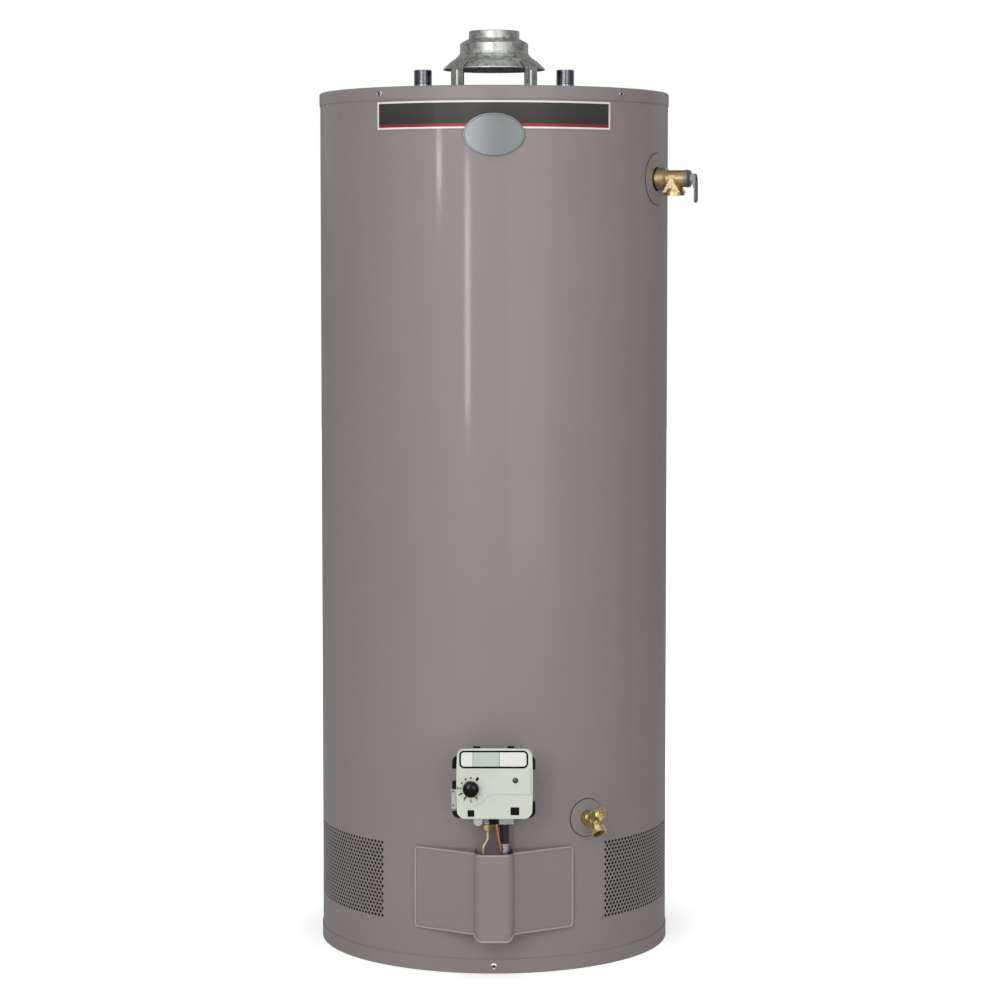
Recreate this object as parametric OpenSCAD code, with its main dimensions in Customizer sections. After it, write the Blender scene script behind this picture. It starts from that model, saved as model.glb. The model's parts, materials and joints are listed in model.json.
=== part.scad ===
// Gas-fired tank water heater with an atmospheric draft hood.
// The frame: Z up from the floor, the tank's axis on Z, the front at -Y.
// Azimuths count from the front, towards +X.

/* [Jacket] */
// Outside diameter of the jacket
jacket_d = 502; // [490:1:520]
// Height from the floor to the top of the cap
body_h = 1226; // [1150:1:1300]
// Sheet thickness of the jacket, the base pan and the cap
sheet_t = 0.9; // [0.7:0.1:1.2]
// Height of the rim of the base pan
base_rim_h = 20; // [16:1:26]
// Height of the rim of the top cap
cap_rim_h = 18; // [14:1:24]
// Width of the lap seam down the back of the jacket
seam_w = 14; // [8:1:24]

/* [Air intake holes] */
// Diameter of one intake hole
hole_d = 3.2; // [2:0.1:3.2]
// Spacing of the holes along a row
hole_pitch = 6.6; // [6.6:0.1:7.4]
// Height from one row to the next
row_pitch = 5.2; // [4.5:0.05:5.4]
// Rows of holes
hole_rows = 21; // [5:2:21]
// Pairs of holes along a row, one pair on each flat
hole_pairs = 22; // [4:1:26]
// Height of the lowest row above the floor
first_row_z = 69; // [60:1:72]
// Azimuth of the first hole of a row
first_hole_azimuth = 38.6; // [36:0.1:44]

/* [Tank] */
// Foam between the tank and the jacket
foam_t = 30; // [26:1:36]
// Wall of the tank shell and its heads
tank_wall = 2; // [1.6:0.1:3]
// Height of the weld of the bottom head
bottom_head_z = 184; // [180:1:190]
// Drop from the cap to the weld of the top head
top_head_drop = 72; // [66:1:84]
// Rise of a domed head
head_crown = 44; // [36:1:46]
// Outside diameter of the flue tube
flue_d = 89; // [76:1:96]
// Wall of the flue tube
flue_wall = 2.5; // [2:0.1:3.5]
// Height of the flue tube above the cap
flue_rise = 8; // [4:1:12]

/* [Water connections] */
// Outside diameter of a pipe nipple
nipple_d = 26.7; // [21:0.1:27]
// Bore of a pipe nipple
nipple_bore = 20.9; // [16:0.1:22]
// Spacing of the hot and cold nipples
nipple_spacing = 205.6; // [190:0.2:220]
// Height of the nipples above the cap
nipple_rise = 35; // [25:1:50]

/* [Draft hood] */
// Height of the rim of the hood above the cap
hood_gap = 35; // [28:1:45]
// Outside diameter of the rim of the hood
hood_rim_d = 147; // [138:1:152]
// Outside diameter of the large vent collar
large_collar_d = 98.4; // [94:0.2:101]
// Outside diameter of the small vent collar
small_collar_d = 73; // [68:0.2:76]
// Straight length of the large vent collar
large_collar_h = 12; // [8:1:16]
// Straight length of the small vent collar
small_collar_h = 10; // [8:1:16]
// Sheet thickness of the hood and its legs
hood_t = 1; // [0.8:0.1:1.4]
// Width of a leg
leg_w = 24; // [18:1:28]

/* [Burner door] */
// Half of the angle that the door spans
door_half_angle = 25.6; // [22:0.1:28]
// Height of the bottom edge of the door
door_z = 61; // [56:1:66]
// Height of the door
door_h = 114.5; // [104:0.5:118]
// Angle at which each wing of the door leans off the jacket
wing_angle = 31; // [28:1:32]
// Width of the tube channel up the middle of the door
channel_w = 55; // [52:1:62]
// Stand of the channel's front face from the jacket
channel_stand = 43; // [38:1:48]
// Length of the channel below the door
channel_drop = 7.5; // [4:0.5:12]
// Wall of the door
door_wall = 1.5; // [1.2:0.1:2]
// Stand of the door's side edges from the jacket
door_edge_stand = 3.5; // [2.5:0.5:6]

/* [Gas control] */
// Height of the middle of the control
control_z = 278.5; // [272:0.5:300]
// Width of the front cover
cover_w = 104; // [98:1:108]
// Height of the front cover
cover_h = 94; // [92:1:98]
// Depth of the front cover
cover_depth = 24; // [18:1:30]
// Stand of the back of the front cover from the jacket
cover_stand = 52; // [50:1:60]
// Diameter of the temperature dial
dial_d = 22; // [20:0.5:26]
// Height of the temperature dial
dial_h = 12; // [10:0.5:16]
// Travel of the dial when it is pushed
dial_travel = 4; // [2:0.5:5]
// Bore of the gas inlet
gas_inlet_d = 18.6; // [16:0.2:20]
// Travel of the igniter button
button_travel = 5; // [3:0.5:6]

/* [Gas tubes] */
// Outside diameter of the burner supply tube
supply_d = 12.7; // [10:0.1:13]
// Outside diameter of the pilot tube
pilot_d = 5; // [4:0.1:6]
// Diameter of the flame sensor lead
sensor_lead_d = 3.6; // [2.4:0.1:4]
// Diameter of the igniter lead
spark_lead_d = 2.4; // [2:0.1:3]
// Stand of the tubes from the jacket
tube_stand = 20; // [18:1:22]
// Height at which the tubes turn into the burner chamber
tube_turn_z = 106; // [100:1:112]

/* [Relief valve] */
// Azimuth of the relief valve
relief_azimuth = 66; // [55:1:80]
// Drop from the cap to the relief valve
relief_drop = 124; // [112:1:160]
// Diameter of the relief valve's cover plate
relief_plate_d = 72; // [60:1:80]
// Bore of the relief valve's outlet
relief_outlet_d = 24; // [20:0.5:25]
// Length of the lift lever below its pin
lever_l = 33; // [25:1:40]
// Lift of the stem when the lever is raised
stem_lift = 3; // [1.5:0.5:3.5]

/* [Drain valve] */
// Azimuth of the drain valve
drain_azimuth = 31; // [29:1:34]
// Height of the drain valve
drain_z = 212; // [208:1:216]
// Diameter of the drain valve's cover plate
drain_plate_d = 52; // [44:1:56]
// Angle of the drain valve's stem above level
drain_stem_angle = 35; // [30:1:45]
// Angle of the drain valve's outlet below level
drain_outlet_angle = 48; // [45:1:60]
// Outside diameter of the hose outlet
hose_outlet_d = 22; // [20:0.5:24]
// Length of the hose outlet
hose_outlet_l = 9; // [7:0.5:12]
// Lift of the drain valve's washer when it is opened
washer_lift = 2.25; // [1:0.25:2.5]

/* [Nameplate] */
// Length of the nameplate around the jacket, as an angle
nameplate_angle = 79; // [60:1:84]
// Height of the nameplate
nameplate_h = 38; // [30:1:46]
// Width of the blank oval
oval_w = 84; // [70:1:96]
// Height of the blank oval
oval_h = 58; // [48:1:66]

/* [Hidden] */
$fn = 72;

slip = 0.2;       // clearance between nested round parts of one body
clear = 0.4;      // clearance between parts that move apart
running = 0.05;   // radial clearance of a pin in its hole

jacket_r = jacket_d / 2;
rim_r = jacket_r + slip + sheet_t;
cap_top = body_h;
cap_under = body_h - sheet_t;
tank_r = jacket_r - foam_t;
head_r = tank_r - tank_wall - slip;
shell_top = body_h - top_head_drop;
flue_r = flue_d / 2;
relief_z = body_h - relief_drop;
foam_bottom = bottom_head_z + 4;
door_top = door_z + door_h;

paint = "#8d8684";
galvanised = "#a3a5a4";
steel = "#b4b6b8";
dark_steel = "#4a4645";
brass = "#b9984e";
copper = "#b5714b";
white_plastic = "#dde1d6";
black_plastic = "#17181a";

// Local Z points out of the jacket, local Y points up.
module radial(azimuth, z)
  rotate([0, 0, azimuth]) translate([0, 0, z]) rotate([90, 0, 0]) children();

module tube(r_out, r_in, h)
  difference() {
    cylinder(r = r_out, h = h);
    translate([0, 0, -1]) cylinder(r = r_in, h = h + 2);
  }

module hexagon(across_flats, h)
  cylinder(d = across_flats / cos(30), h = h, $fn = 6);

// A plate with rounded corners, centred on Z, from z = 0 up.
module rounded_plate(w, h, depth, r) {
  translate([-w / 2 + r, -h / 2, 0]) cube([w - 2 * r, h, depth]);
  translate([-w / 2, -h / 2 + r, 0]) cube([w, h - 2 * r, depth]);
  for (x = [-1, 1], y = [-1, 1])
    translate([x * (w / 2 - r), y * (h / 2 - r), 0]) cylinder(r = r, h = depth);
}

// Radius of an arc that rises by bow over the width w.
function bow_radius(w, bow) = (w * w / 4 + bow * bow) / (2 * bow);

// A rounded plate whose four sides bow outwards, with its front edges rounded.
module soft_plate(w, h, depth, r, edge_r, bow) {
  side_r = bow_radius(h, bow);
  top_r = bow_radius(w, 1.2 * bow);
  foot_r = bow_radius(w, bow / 2);
  intersection() {
    rounded_plate(w + 1, h + 1, depth, r);
    translate([w / 2 - side_r, 0, -1]) cylinder(r = side_r, h = depth + 2, $fn = 720);
    translate([side_r - w / 2, 0, -1]) cylinder(r = side_r, h = depth + 2, $fn = 720);
    translate([0, h / 2 - top_r, -1]) cylinder(r = top_r, h = depth + 2, $fn = 720);
    translate([0, foot_r - h / 2, -1]) cylinder(r = foot_r, h = depth + 2, $fn = 720);
    rotate([0, 90, 0]) translate([0, 0, -w]) rounded_plate(2 * depth - 0.02, h + 1.6, 2 * w, edge_r);
    rotate([90, 0, 0]) translate([0, 0, -h]) rounded_plate(w + 1.6, 2 * depth - 0.02, 2 * h, edge_r);
  }
}

// A sheet bent to the jacket, from its surface out, cut to the outline of its children.
module wrapped(azimuth, z, lift, thickness)
  intersection() {
    tube(jacket_r + lift + thickness, jacket_r + lift, 2 * body_h);
    radial(azimuth, z) translate([0, 0, jacket_r / 2]) children();
  }

// ---------- Jacket, base pan and cap ----------

cap_screw_azimuths = [-38.7, 44.2, 141, 224];
base_screw_azimuths = [0, 120, 240];
screw_d = 4;
screw_head_d = 8;
screw_head_h = 2.4;
screw_l = 8;
pan_bead_r = 150;
pan_bead_h = 5;
pan_bead_w = 12;
cap_edge_r = 3;
cap_flue_clear = 4;
flat_angle = 2 * hole_pitch / jacket_r * 180 / PI;
panel_start = first_hole_azimuth - flat_angle / 8;
panel_margin = row_pitch;
panel_recess = 0.08;
panel_lap = 1;
jacket_opening_w = 150;
jacket_opening_h = 96;
opening_z = door_z + door_h / 2;
relief_hole_r = 17;
drain_hole_r = 14;
shank_hole_r = 20;

module screw_holes(azimuths, z, r)
  for (a = azimuths) radial(a, z) translate([0, 0, r - 10]) cylinder(d = screw_d + 0.3, h = 20);

module rim_screws(azimuths, z)
  color(steel)
    for (a = azimuths) radial(a, z) {
      translate([0, 0, rim_r - screw_l]) cylinder(d = screw_d, h = screw_l + 1, $fn = 24);
      translate([0, 0, rim_r + 0.05])
        cylinder(d1 = screw_head_d, d2 = screw_head_d - 3, h = screw_head_h, $fn = 24);
    }

module base_pan() {
  bead_top = pan_bead_h + sheet_t;
  color(paint) difference() {
    union() {
      tube(rim_r, rim_r - sheet_t, base_rim_h);
      difference() {
        cylinder(r = rim_r, h = sheet_t);
        translate([0, 0, -1]) tube(pan_bead_r + pan_bead_w / 2, pan_bead_r - pan_bead_w / 2, 2 + sheet_t);
      }
      rotate_extrude() polygon([
        [pan_bead_r - pan_bead_w / 2 - 0.1, 0], [pan_bead_r - pan_bead_w / 4, pan_bead_h],
        [pan_bead_r + pan_bead_w / 4, pan_bead_h], [pan_bead_r + pan_bead_w / 2 + 0.1, 0],
        [pan_bead_r + pan_bead_w / 2 + 0.1, sheet_t], [pan_bead_r + pan_bead_w / 4 + 0.3, bead_top],
        [pan_bead_r - pan_bead_w / 4 - 0.3, bead_top], [pan_bead_r - pan_bead_w / 2 - 0.1, sheet_t]]);
    }
    screw_holes(base_screw_azimuths, base_rim_h / 2, rim_r);
  }
}

// One row of flats, each two holes wide, so that every hole is punched square through its flat.
module intake_panel() {
  outer = jacket_r - panel_recess;
  inner = jacket_r - sheet_t + panel_recess + outer * (1 - cos(flat_angle / 2));
  low = first_row_z - panel_margin - panel_lap;
  height = (hole_rows - 1) * row_pitch + 2 * (panel_margin + panel_lap);
  corners = [for (k = [0:hole_pairs]) panel_start + k * flat_angle];
  difference() {
    translate([0, 0, low]) linear_extrude(height) polygon([
      for (a = corners) outer * [sin(a), -cos(a)],
      for (k = [hole_pairs:-1:0]) inner * [sin(corners[k]), -cos(corners[k])]]);
    for (k = [0:hole_pairs - 1])
      radial(panel_start + (k + 0.5) * flat_angle, first_row_z)
        for (row = [0:hole_rows - 1], pair = [0, 1])
          translate([hole_pitch * (pair - 0.75 + (row % 2) / 2), row * row_pitch, jacket_r - 4])
            cylinder(d = hole_d, h = 8, $fn = 16);
  }
}

module intake_window() {
  low = first_row_z - panel_margin;
  height = (hole_rows - 1) * row_pitch + 2 * panel_margin;
  lap_angle = panel_lap / jacket_r * 180 / PI;
  a0 = panel_start + lap_angle;
  a1 = panel_start + hole_pairs * flat_angle - lap_angle;
  reach = 1.6 * jacket_r;
  translate([0, 0, low]) linear_extrude(height) polygon([
    [0, 0], reach * [sin(a0), -cos(a0)], reach * [sin((a0 + a1) / 2), -cos((a0 + a1) / 2)],
    reach * [sin(a1), -cos(a1)]]);
}

module jacket() {
  color(paint) {
    difference() {
      union() {
        translate([0, 0, sheet_t]) tube(jacket_r, jacket_r - sheet_t, cap_under - sheet_t);
        intersection() {
          translate([0, 0, base_rim_h + 1])
            tube(jacket_r + sheet_t / 2, jacket_r - sheet_t / 2, body_h - base_rim_h - cap_rim_h - 2);
          translate([-seam_w / 2, jacket_r / 2, 0]) cube([seam_w, jacket_r, body_h]);
        }
      }
      intake_window();
      mirror([1, 0, 0]) intake_window();
      translate([0, 0, opening_z]) rotate([90, 0, 0])
        rounded_plate(jacket_opening_w, jacket_opening_h, 2 * jacket_r, 8);
      radial(relief_azimuth, relief_z) cylinder(r = relief_hole_r, h = 2 * jacket_r);
      radial(drain_azimuth, drain_z) cylinder(r = drain_hole_r, h = 2 * jacket_r);
      radial(0, control_z) cylinder(r = shank_hole_r, h = 2 * jacket_r);
      screw_holes(base_screw_azimuths, base_rim_h / 2, jacket_r);
      screw_holes(cap_screw_azimuths, cap_top - cap_rim_h / 2, jacket_r);
    }
    intake_panel();
    mirror([1, 0, 0]) intake_panel();
  }
}

module top_cap() {
  inner = rim_r - sheet_t;
  color(paint) difference() {
    rotate_extrude() polygon([
      [flue_r + cap_flue_clear, cap_under], [flue_r + cap_flue_clear, cap_top],
      [rim_r - cap_edge_r, cap_top],
      for (a = [75:-15:15])
        [rim_r - cap_edge_r + cap_edge_r * cos(a), cap_top - cap_edge_r + cap_edge_r * sin(a)],
      [rim_r, cap_top - cap_edge_r], [rim_r, cap_top - cap_rim_h], [inner, cap_top - cap_rim_h],
        [inner, cap_under]]);
    for (x = [-1, 1]) translate([x * nipple_spacing / 2, 0, cap_under - 1])
      cylinder(d = nipple_d + 1.2, h = 4);
    translate([0, anode_y, cap_under - 1]) cylinder(r = anode_hole_r, h = 4);
    screw_holes(cap_screw_azimuths, cap_top - cap_rim_h / 2, rim_r);
    for (k = [0:3]) rotate([0, 0, 45 + 90 * k]) translate([0, -foot_screw_r, cap_under - 1])
      cylinder(d = screw_d + 0.3, h = 4);
  }
}

module cap_screws() rim_screws(cap_screw_azimuths, cap_top - cap_rim_h / 2);
module base_screws() rim_screws(base_screw_azimuths, base_rim_h / 2);

// ---------- Tank, flue and insulation ----------

anode_y = 118;
anode_hole_r = 21;
spud_r = 19;
spud_h = 14;
nipple_thread_l = 20;
spud_bore_r = nipple_d / 2 + slip;
dome_steps = 12;
head_flange = 20;

// Height of a domed head over its weld at radius r.
function dome(r) = head_crown * sqrt(max(0, 1 - pow(r / (head_r + 2), 2)));

module domed_solid(grow)
  rotate_extrude() polygon([
    [0, -head_flange], [head_r + slip, -head_flange], [head_r + slip, dome(head_r) + grow],
    for (k = [1:dome_steps]) let (r = head_r + (flue_r + slip - head_r) * k / dome_steps) [r, dome(r) + grow],
    [0, dome(flue_r + slip) + grow]]);

module domed_head(r_in)
  rotate_extrude() polygon([
    [head_r - tank_wall, -head_flange], [head_r, -head_flange],
    for (k = [0:dome_steps]) let (r = head_r + (r_in - head_r) * k / dome_steps) [r, dome(r)],
    for (k = [dome_steps:-1:0])
      let (r = head_r - tank_wall + (r_in - head_r + tank_wall) * k / dome_steps)
        [r, dome(r) - tank_wall - 1]]);

function spud_z(r) = shell_top + dome(r) - 4;

module top_spud_places() {
  for (x = [-1, 1]) translate([x * nipple_spacing / 2, 0, spud_z(nipple_spacing / 2)]) children();
  translate([0, anode_y, spud_z(anode_y)]) children();
}

module side_spud_places() {
  radial(relief_azimuth, relief_z) translate([0, 0, tank_r - tank_wall]) children();
  radial(drain_azimuth, drain_z) translate([0, 0, tank_r - tank_wall]) children();
  radial(0, control_z) translate([0, 0, tank_r - tank_wall]) children();
}

module tank_shell() {
  slots = 10;
  color(dark_steel) difference() {
    translate([0, 0, sheet_t]) tube(tank_r, tank_r - tank_wall, shell_top - sheet_t);
    side_spud_places() translate([0, 0, -5]) cylinder(r = spud_r + slip, h = 30);
    translate([0, 0, opening_z]) rotate([90, 0, 0])
      rounded_plate(inner_opening_w, inner_opening_h, 2 * tank_r, 8);
    for (k = [0:slots - 1]) rotate([0, 0, 18 + 36 * k]) translate([-18, -tank_r - 5, sheet_t - 1])
      cube([36, 20, 16]);
    inner_door_holes(tank_r);
  }
}

module top_head()
  color(dark_steel) difference() {
    translate([0, 0, shell_top]) domed_head(flue_r + slip);
    top_spud_places() translate([0, 0, -20]) cylinder(r = spud_r + slip, h = 40);
  }

module bottom_head()
  color(dark_steel) translate([0, 0, bottom_head_z]) domed_head(flue_r + slip);

module tank_spuds()
  color(dark_steel) {
    top_spud_places() tube(spud_r, spud_bore_r, spud_h);
    side_spud_places() tube(spud_r, spud_bore_r, spud_h);
  }

module flue_tube() {
  low = bottom_head_z + dome(flue_r) - 10;
  color(dark_steel) translate([0, 0, low]) tube(flue_r, flue_r - flue_wall, cap_top + flue_rise - low);
}

// A zigzag strip that hangs from a bar across the top of the flue.
module flue_baffle() {
  strip_t = 1.2;
  strip_w = flue_d - 2 * flue_wall - 24;
  swing = 16;
  step = 48;
  folds = floor((shell_top - bottom_head_z - head_crown - 60) / step);
  top = cap_top + flue_rise;
  path = [for (k = [0:folds]) [(k % 2 == 0 ? -1 : 1) * swing, top - 16 - k * step]];
  color(steel) {
    translate([-strip_w / 2, 0, 0]) rotate([90, 0, 90]) linear_extrude(strip_w) polygon([
      [-strip_t, top + strip_t], for (p = path) [p[0] - strip_t, p[1]],
      for (k = [folds:-1:0]) [path[k][0] + strip_t, path[k][1]], [strip_t, top + strip_t]]);
    translate([-flue_r + 1, -4, top]) cube([flue_d - 2, 8, strip_t]);
  }
}

module foam_insulation() {
  outer = jacket_r - sheet_t - slip;
  top = cap_under - slip;
  color("#d9c98f") difference() {
    translate([0, 0, foam_bottom]) cylinder(r = outer, h = top - foam_bottom);
    translate([0, 0, foam_bottom - 1]) cylinder(r = tank_r + slip, h = shell_top - foam_bottom + 1 + slip);
    translate([0, 0, shell_top]) domed_solid(slip + 0.3);
    translate([0, 0, foam_bottom]) cylinder(r = flue_r + slip, h = body_h);
    top_spud_places() cylinder(r = spud_r + slip, h = spud_h + slip);
    for (x = [-1, 1]) translate([x * nipple_spacing / 2, 0, shell_top])
      cylinder(d = nipple_d + 2 * slip, h = body_h);
    translate([0, anode_y, shell_top]) cylinder(r = anode_hole_r, h = body_h);
    radial(relief_azimuth, relief_z) cylinder(r = spud_r + slip, h = 2 * jacket_r);
    radial(drain_azimuth, drain_z) cylinder(r = spud_r + slip, h = 2 * jacket_r);
    radial(0, control_z) cylinder(r = spud_r + slip, h = 2 * jacket_r);
    screw_holes(cap_screw_azimuths, cap_top - cap_rim_h / 2, jacket_r);
    for (k = [0:3]) rotate([0, 0, 45 + 90 * k]) translate([0, -foot_screw_r, top - 10])
      cylinder(d = screw_d + 0.6, h = 20);
  }
}

// A pipe nipple: a plain shank and a threaded end for the water pipe.
module nipple() {
  low = spud_z(nipple_spacing / 2) + 2;
  top = cap_top + nipple_rise;
  r = nipple_d / 2;
  rotate_extrude() polygon([
    [nipple_bore / 2, low], [r - 0.3, low], [r - 0.3, top - nipple_thread_l], [r, top - nipple_thread_l],
    [r, top - 1.5], [r - 1.2, top], [nipple_bore / 2, top]]);
}

module hot_nipple() color(steel) translate([nipple_spacing / 2, 0, 0]) nipple();
module cold_nipple() color(steel) translate([-nipple_spacing / 2, 0, 0]) nipple();

liner_wall = 1.4;
dip_tube_clear = 70;
anode_clear = 120;
thermowell_l = 150;
probe_l = 140;
module liner(low)
  translate([0, 0, low])
    tube(nipple_bore / 2 - slip, nipple_bore / 2 - slip - liner_wall, cap_top + nipple_rise - 1 - low);

module nipple_liner() color("#e8e4da") translate([nipple_spacing / 2, 0, 0]) liner(shell_top);
module dip_tube() color("#e8e4da") translate([-nipple_spacing / 2, 0, 0])
  liner(bottom_head_z + head_crown + dip_tube_clear);

module anode_rod() {
  seat = spud_z(anode_y) + spud_h;
  rod_d = 21;
  color("#9b9a94") translate([0, anode_y, 0]) {
    translate([0, 0, bottom_head_z + head_crown + anode_clear])
      cylinder(d = rod_d, h = seat - bottom_head_z - head_crown - anode_clear - 10);
    translate([0, 0, seat - 14]) cylinder(r = nipple_d / 2, h = 14);
    translate([0, 0, seat]) hexagon(27, 8);
  }
}

// ---------- Burner chamber ----------

inner_opening_w = 124;
inner_opening_h = 84;
gasket_t = 3;
arrestor_z = 34;
burner_r = 78;
burner_z = tube_turn_z - 10;
mixer_r = 9;

module flame_arrestor() {
  plate_r = tank_r - tank_wall - slip;
  slots = 14;
  color("#8a8d90") difference() {
    union() {
      translate([0, 0, arrestor_z]) cylinder(r = plate_r, h = 1.5);
      translate([0, 0, sheet_t]) tube(plate_r, plate_r - 2, 0.5 + arrestor_z - sheet_t);
    }
    for (k = [0:slots - 1])
      translate([-75, -78 + k * 12 - 2, arrestor_z - 1]) cube([150, 4, 4]);
    for (k = [0:9]) rotate([0, 0, 18 + 36 * k]) translate([-18, -tank_r - 5, sheet_t - 1]) cube([36, 20, 16]);
  }
}

module burner() {
  ports = 20;
  color("#77797c") difference() {
    union() {
      translate([0, 0, burner_z]) rotate_extrude() polygon([
        [0, 4], [burner_r - 20, 8], [burner_r, 20], [burner_r, 23], [burner_r - 16, 27], [20, 31], [0, 31],
        [0, 29], [20, 29], [burner_r - 17, 25], [burner_r - 3, 21.5], [burner_r - 21, 10], [0, 6]]);
      translate([supply_x, -burner_r - 30, tube_turn_z]) rotate([-90, 0, 0])
        tube(mixer_r, mixer_r - 1.5, burner_r + 20);
      for (a = [60, 180, 300]) rotate([0, 0, a])
        translate([burner_r - 22, -4, arrestor_z + 1.5]) cube([4, 8, burner_z + 10 - arrestor_z - 1.5]);
    }
    for (k = [0:ports - 1]) rotate([0, 0, (k + 0.5) * 360 / ports])
      translate([burner_r - 6, -1.5, burner_z + 21]) cube([10, 3, 1.5]);
  }
}

// A round tube down the front of the jacket, turned once into the burner chamber.
module turned_tube(x, r, top, turn_z, turn_r, end_y) {
  y = -jacket_r - tube_stand;
  translate([x, y, turn_z + turn_r]) cylinder(r = r, h = top - turn_z - turn_r);
  translate([x, y + turn_r, turn_z + turn_r]) rotate([90, 0, -90])
    rotate([0, 0, -90]) rotate_extrude(angle = 90) translate([turn_r, 0]) circle(r = r);
  translate([x, y + turn_r, turn_z]) rotate([-90, 0, 0]) cylinder(r = r, h = end_y - y - turn_r);
}

supply_x = 14.4;
supply_top = control_z - 51;
outlet_w = 20;
outlet_drop = 63;
supply_turn_r = 16;
nut_top = door_top + 12;
nut_h = 18;
nut_r = 7.6;
pilot_x = -14.3;
pilot_top_x = -8.4;
sensor_x = 4;
sensor_out_x = 9;
sensor_in_x = 3.4;
spark_x = -2.4;

module supply_tube() {
  color("#2b2523")
    turned_tube(supply_x, supply_d / 2, supply_top, tube_turn_z, supply_turn_r, -burner_r - 34);
}

module supply_nut()
  color(steel) translate([supply_x, -jacket_r - tube_stand, nut_top]) rotate_extrude() polygon([
    [supply_d / 2 + slip, -nut_h], [nut_r - 0.3, -nut_h], [nut_r - 0.3, -6.4], [nut_r - 0.7, -6],
    [nut_r - 0.7, -5.4], [nut_r, -5], [nut_r, -3.4], [nut_r - 0.7, -3], [nut_r - 0.7, -2.4],
    [nut_r, -2], [nut_r, -0.5], [nut_r - 0.5, 0], [supply_d / 2 + slip, 0]]);

function unit(v) = v / norm(v);
function is_square(a, b, c) = abs(unit(b - a) * unit(c - b)) < 0.001;

// A round rod of radius r through the points: a square corner is a bend of radius bend_r,
// a slighter one a kink with a small bead.
module bent_rod(points, r, bend_r) {
  last = len(points) - 1;
  reach = [for (k = [0:last]) k > 0 && k < last && is_square(points[k - 1], points[k],
    points[k + 1]) ? bend_r : 0];
  for (k = [0:last - 1]) {
    along = unit(points[k + 1] - points[k]);
    translate(points[k] + along * reach[k])
      rotate([0, acos(along[2]), atan2(along[1], along[0])])
        cylinder(r = r, h = norm(points[k + 1] - points[k]) - reach[k] - reach[k + 1]);
  }
  for (k = [1:last - 1]) {
    into = unit(points[k] - points[k - 1]);
    side = unit(points[k + 1] - points[k]);
    turn = cross(into, side);
    centre = points[k] + (side - into) * bend_r;
    if (reach[k] > 0)
      multmatrix([for (i = [0:2]) [-side[i], into[i], turn[i], centre[i]]])
        rotate_extrude(angle = 90) translate([bend_r, 0]) circle(r = r);
    else translate(points[k]) sphere(r = 1.04 * r);
  }
}

tube_y = -jacket_r - tube_stand;
sensor_y = tube_y - 10;
spark_y = -jacket_r - 6.5;

module pilot_tube()
  color("#bdb68f") bent_rod([
    [pilot_top_x, tube_y, control_z - 68], [pilot_top_x, tube_y, control_z - 86],
    [pilot_x, tube_y, door_top + 6], [pilot_x, tube_y, tube_turn_z],
    [pilot_x, -burner_r - 12, tube_turn_z]], pilot_d / 2, 8);

module pilot_nut()
  color(brass) translate([pilot_top_x, tube_y, 0]) {
    translate([0, 0, control_z - 72]) difference() {
      union() {
        hexagon(10, 8);
        translate([0, 0, 8]) cylinder(r = 3.8, h = 8);
      }
      translate([0, 0, -1]) cylinder(r = pilot_d / 2 + slip, h = 6);
    }
  }

module sensor_lead()
  color(copper) bent_rod([
    [sensor_x, sensor_y, control_z - 52], [sensor_x, sensor_y, control_z - 66],
    [sensor_out_x, sensor_y, door_top + 6], [sensor_out_x, sensor_y, door_top - 20],
    [sensor_in_x, sensor_y, tube_turn_z + 18], [sensor_in_x, sensor_y, tube_turn_z],
    [sensor_in_x, -burner_r - 12, tube_turn_z]], sensor_lead_d / 2, 10);

module spark_lead()
  color("#c08a3e") bent_rod([
    [igniter_x, igniter_y + 3, igniter_z + 4], [igniter_x, spark_y, igniter_z + 4],
    [igniter_x, spark_y, control_z - 53], [supply_x, spark_y, control_z - 53],
    [supply_x, spark_y, door_top - 8], [spark_x, spark_y, tube_turn_z + 30],
    [spark_x, spark_y, tube_turn_z], [spark_x, -burner_r - 12, tube_turn_z]], spark_lead_d / 2, 5);

module pilot_burner()
  color("#8f8a80") translate([0, -burner_r - 12 + clear, tube_turn_z]) {
    difference() {
      translate([-20, 0, -6]) cube([50, 2, 18]);
      translate([supply_x, -1, 0]) rotate([-90, 0, 0]) cylinder(r = mixer_r + slip, h = 4);
    }
    translate([pilot_x, 2, 0]) rotate([-90, 0, 0]) cylinder(r = 3.2, h = 22, $fn = 24);
    translate([sensor_in_x - 1, 2, 0]) rotate([-90, 0, 0]) cylinder(r = 2.2, h = 18, $fn = 24);
    translate([spark_x - 2, 2, 0]) rotate([-90, 0, 0]) cylinder(r = 1.2, h = 24, $fn = 24);
  }

inner_door_w = inner_opening_w + 22;
inner_door_h = inner_opening_h + 10;
grommet_w = 56;
grommet_h = 26;
sight_x = -46;
sight_z = 26;
sight_r = 13;
corner_screw_x = inner_door_w / 2 - 6;
inner_door_inner_r = tank_r + slip + gasket_t + slip;
inner_door_t = 1.5;

module door_cut(w, h, r_in, r_out)
  intersection() {
    translate([0, 0, door_z - 5]) tube(r_out, r_in, door_h + 10);
    translate([0, 0, opening_z]) rotate([90, 0, 0]) rounded_plate(w, h, 2 * jacket_r, 8);
  }

module inner_door_holes(z_from) {
  depth = 40;
  for (x = [-1, 1], z = [-1, 1])
    translate([x * corner_screw_x, -z_from, opening_z + z * (inner_door_h / 2 - 6)])
      rotate([90, 0, 0]) cylinder(d = screw_d + 0.4, h = depth, center = true);
}

module inner_door()
  color("#9c9fa1") difference() {
    door_cut(inner_door_w, inner_door_h, inner_door_inner_r, inner_door_inner_r + inner_door_t);
    translate([0, 0, tube_turn_z]) rotate([90, 0, 0]) rounded_plate(grommet_w, grommet_h, 2 * tank_r, 5);
    translate([sight_x, 0, opening_z + sight_z]) rotate([90, 0, 0]) cylinder(r = sight_r, h = 2 * tank_r);
    inner_door_holes(tank_r);
  }

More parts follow.
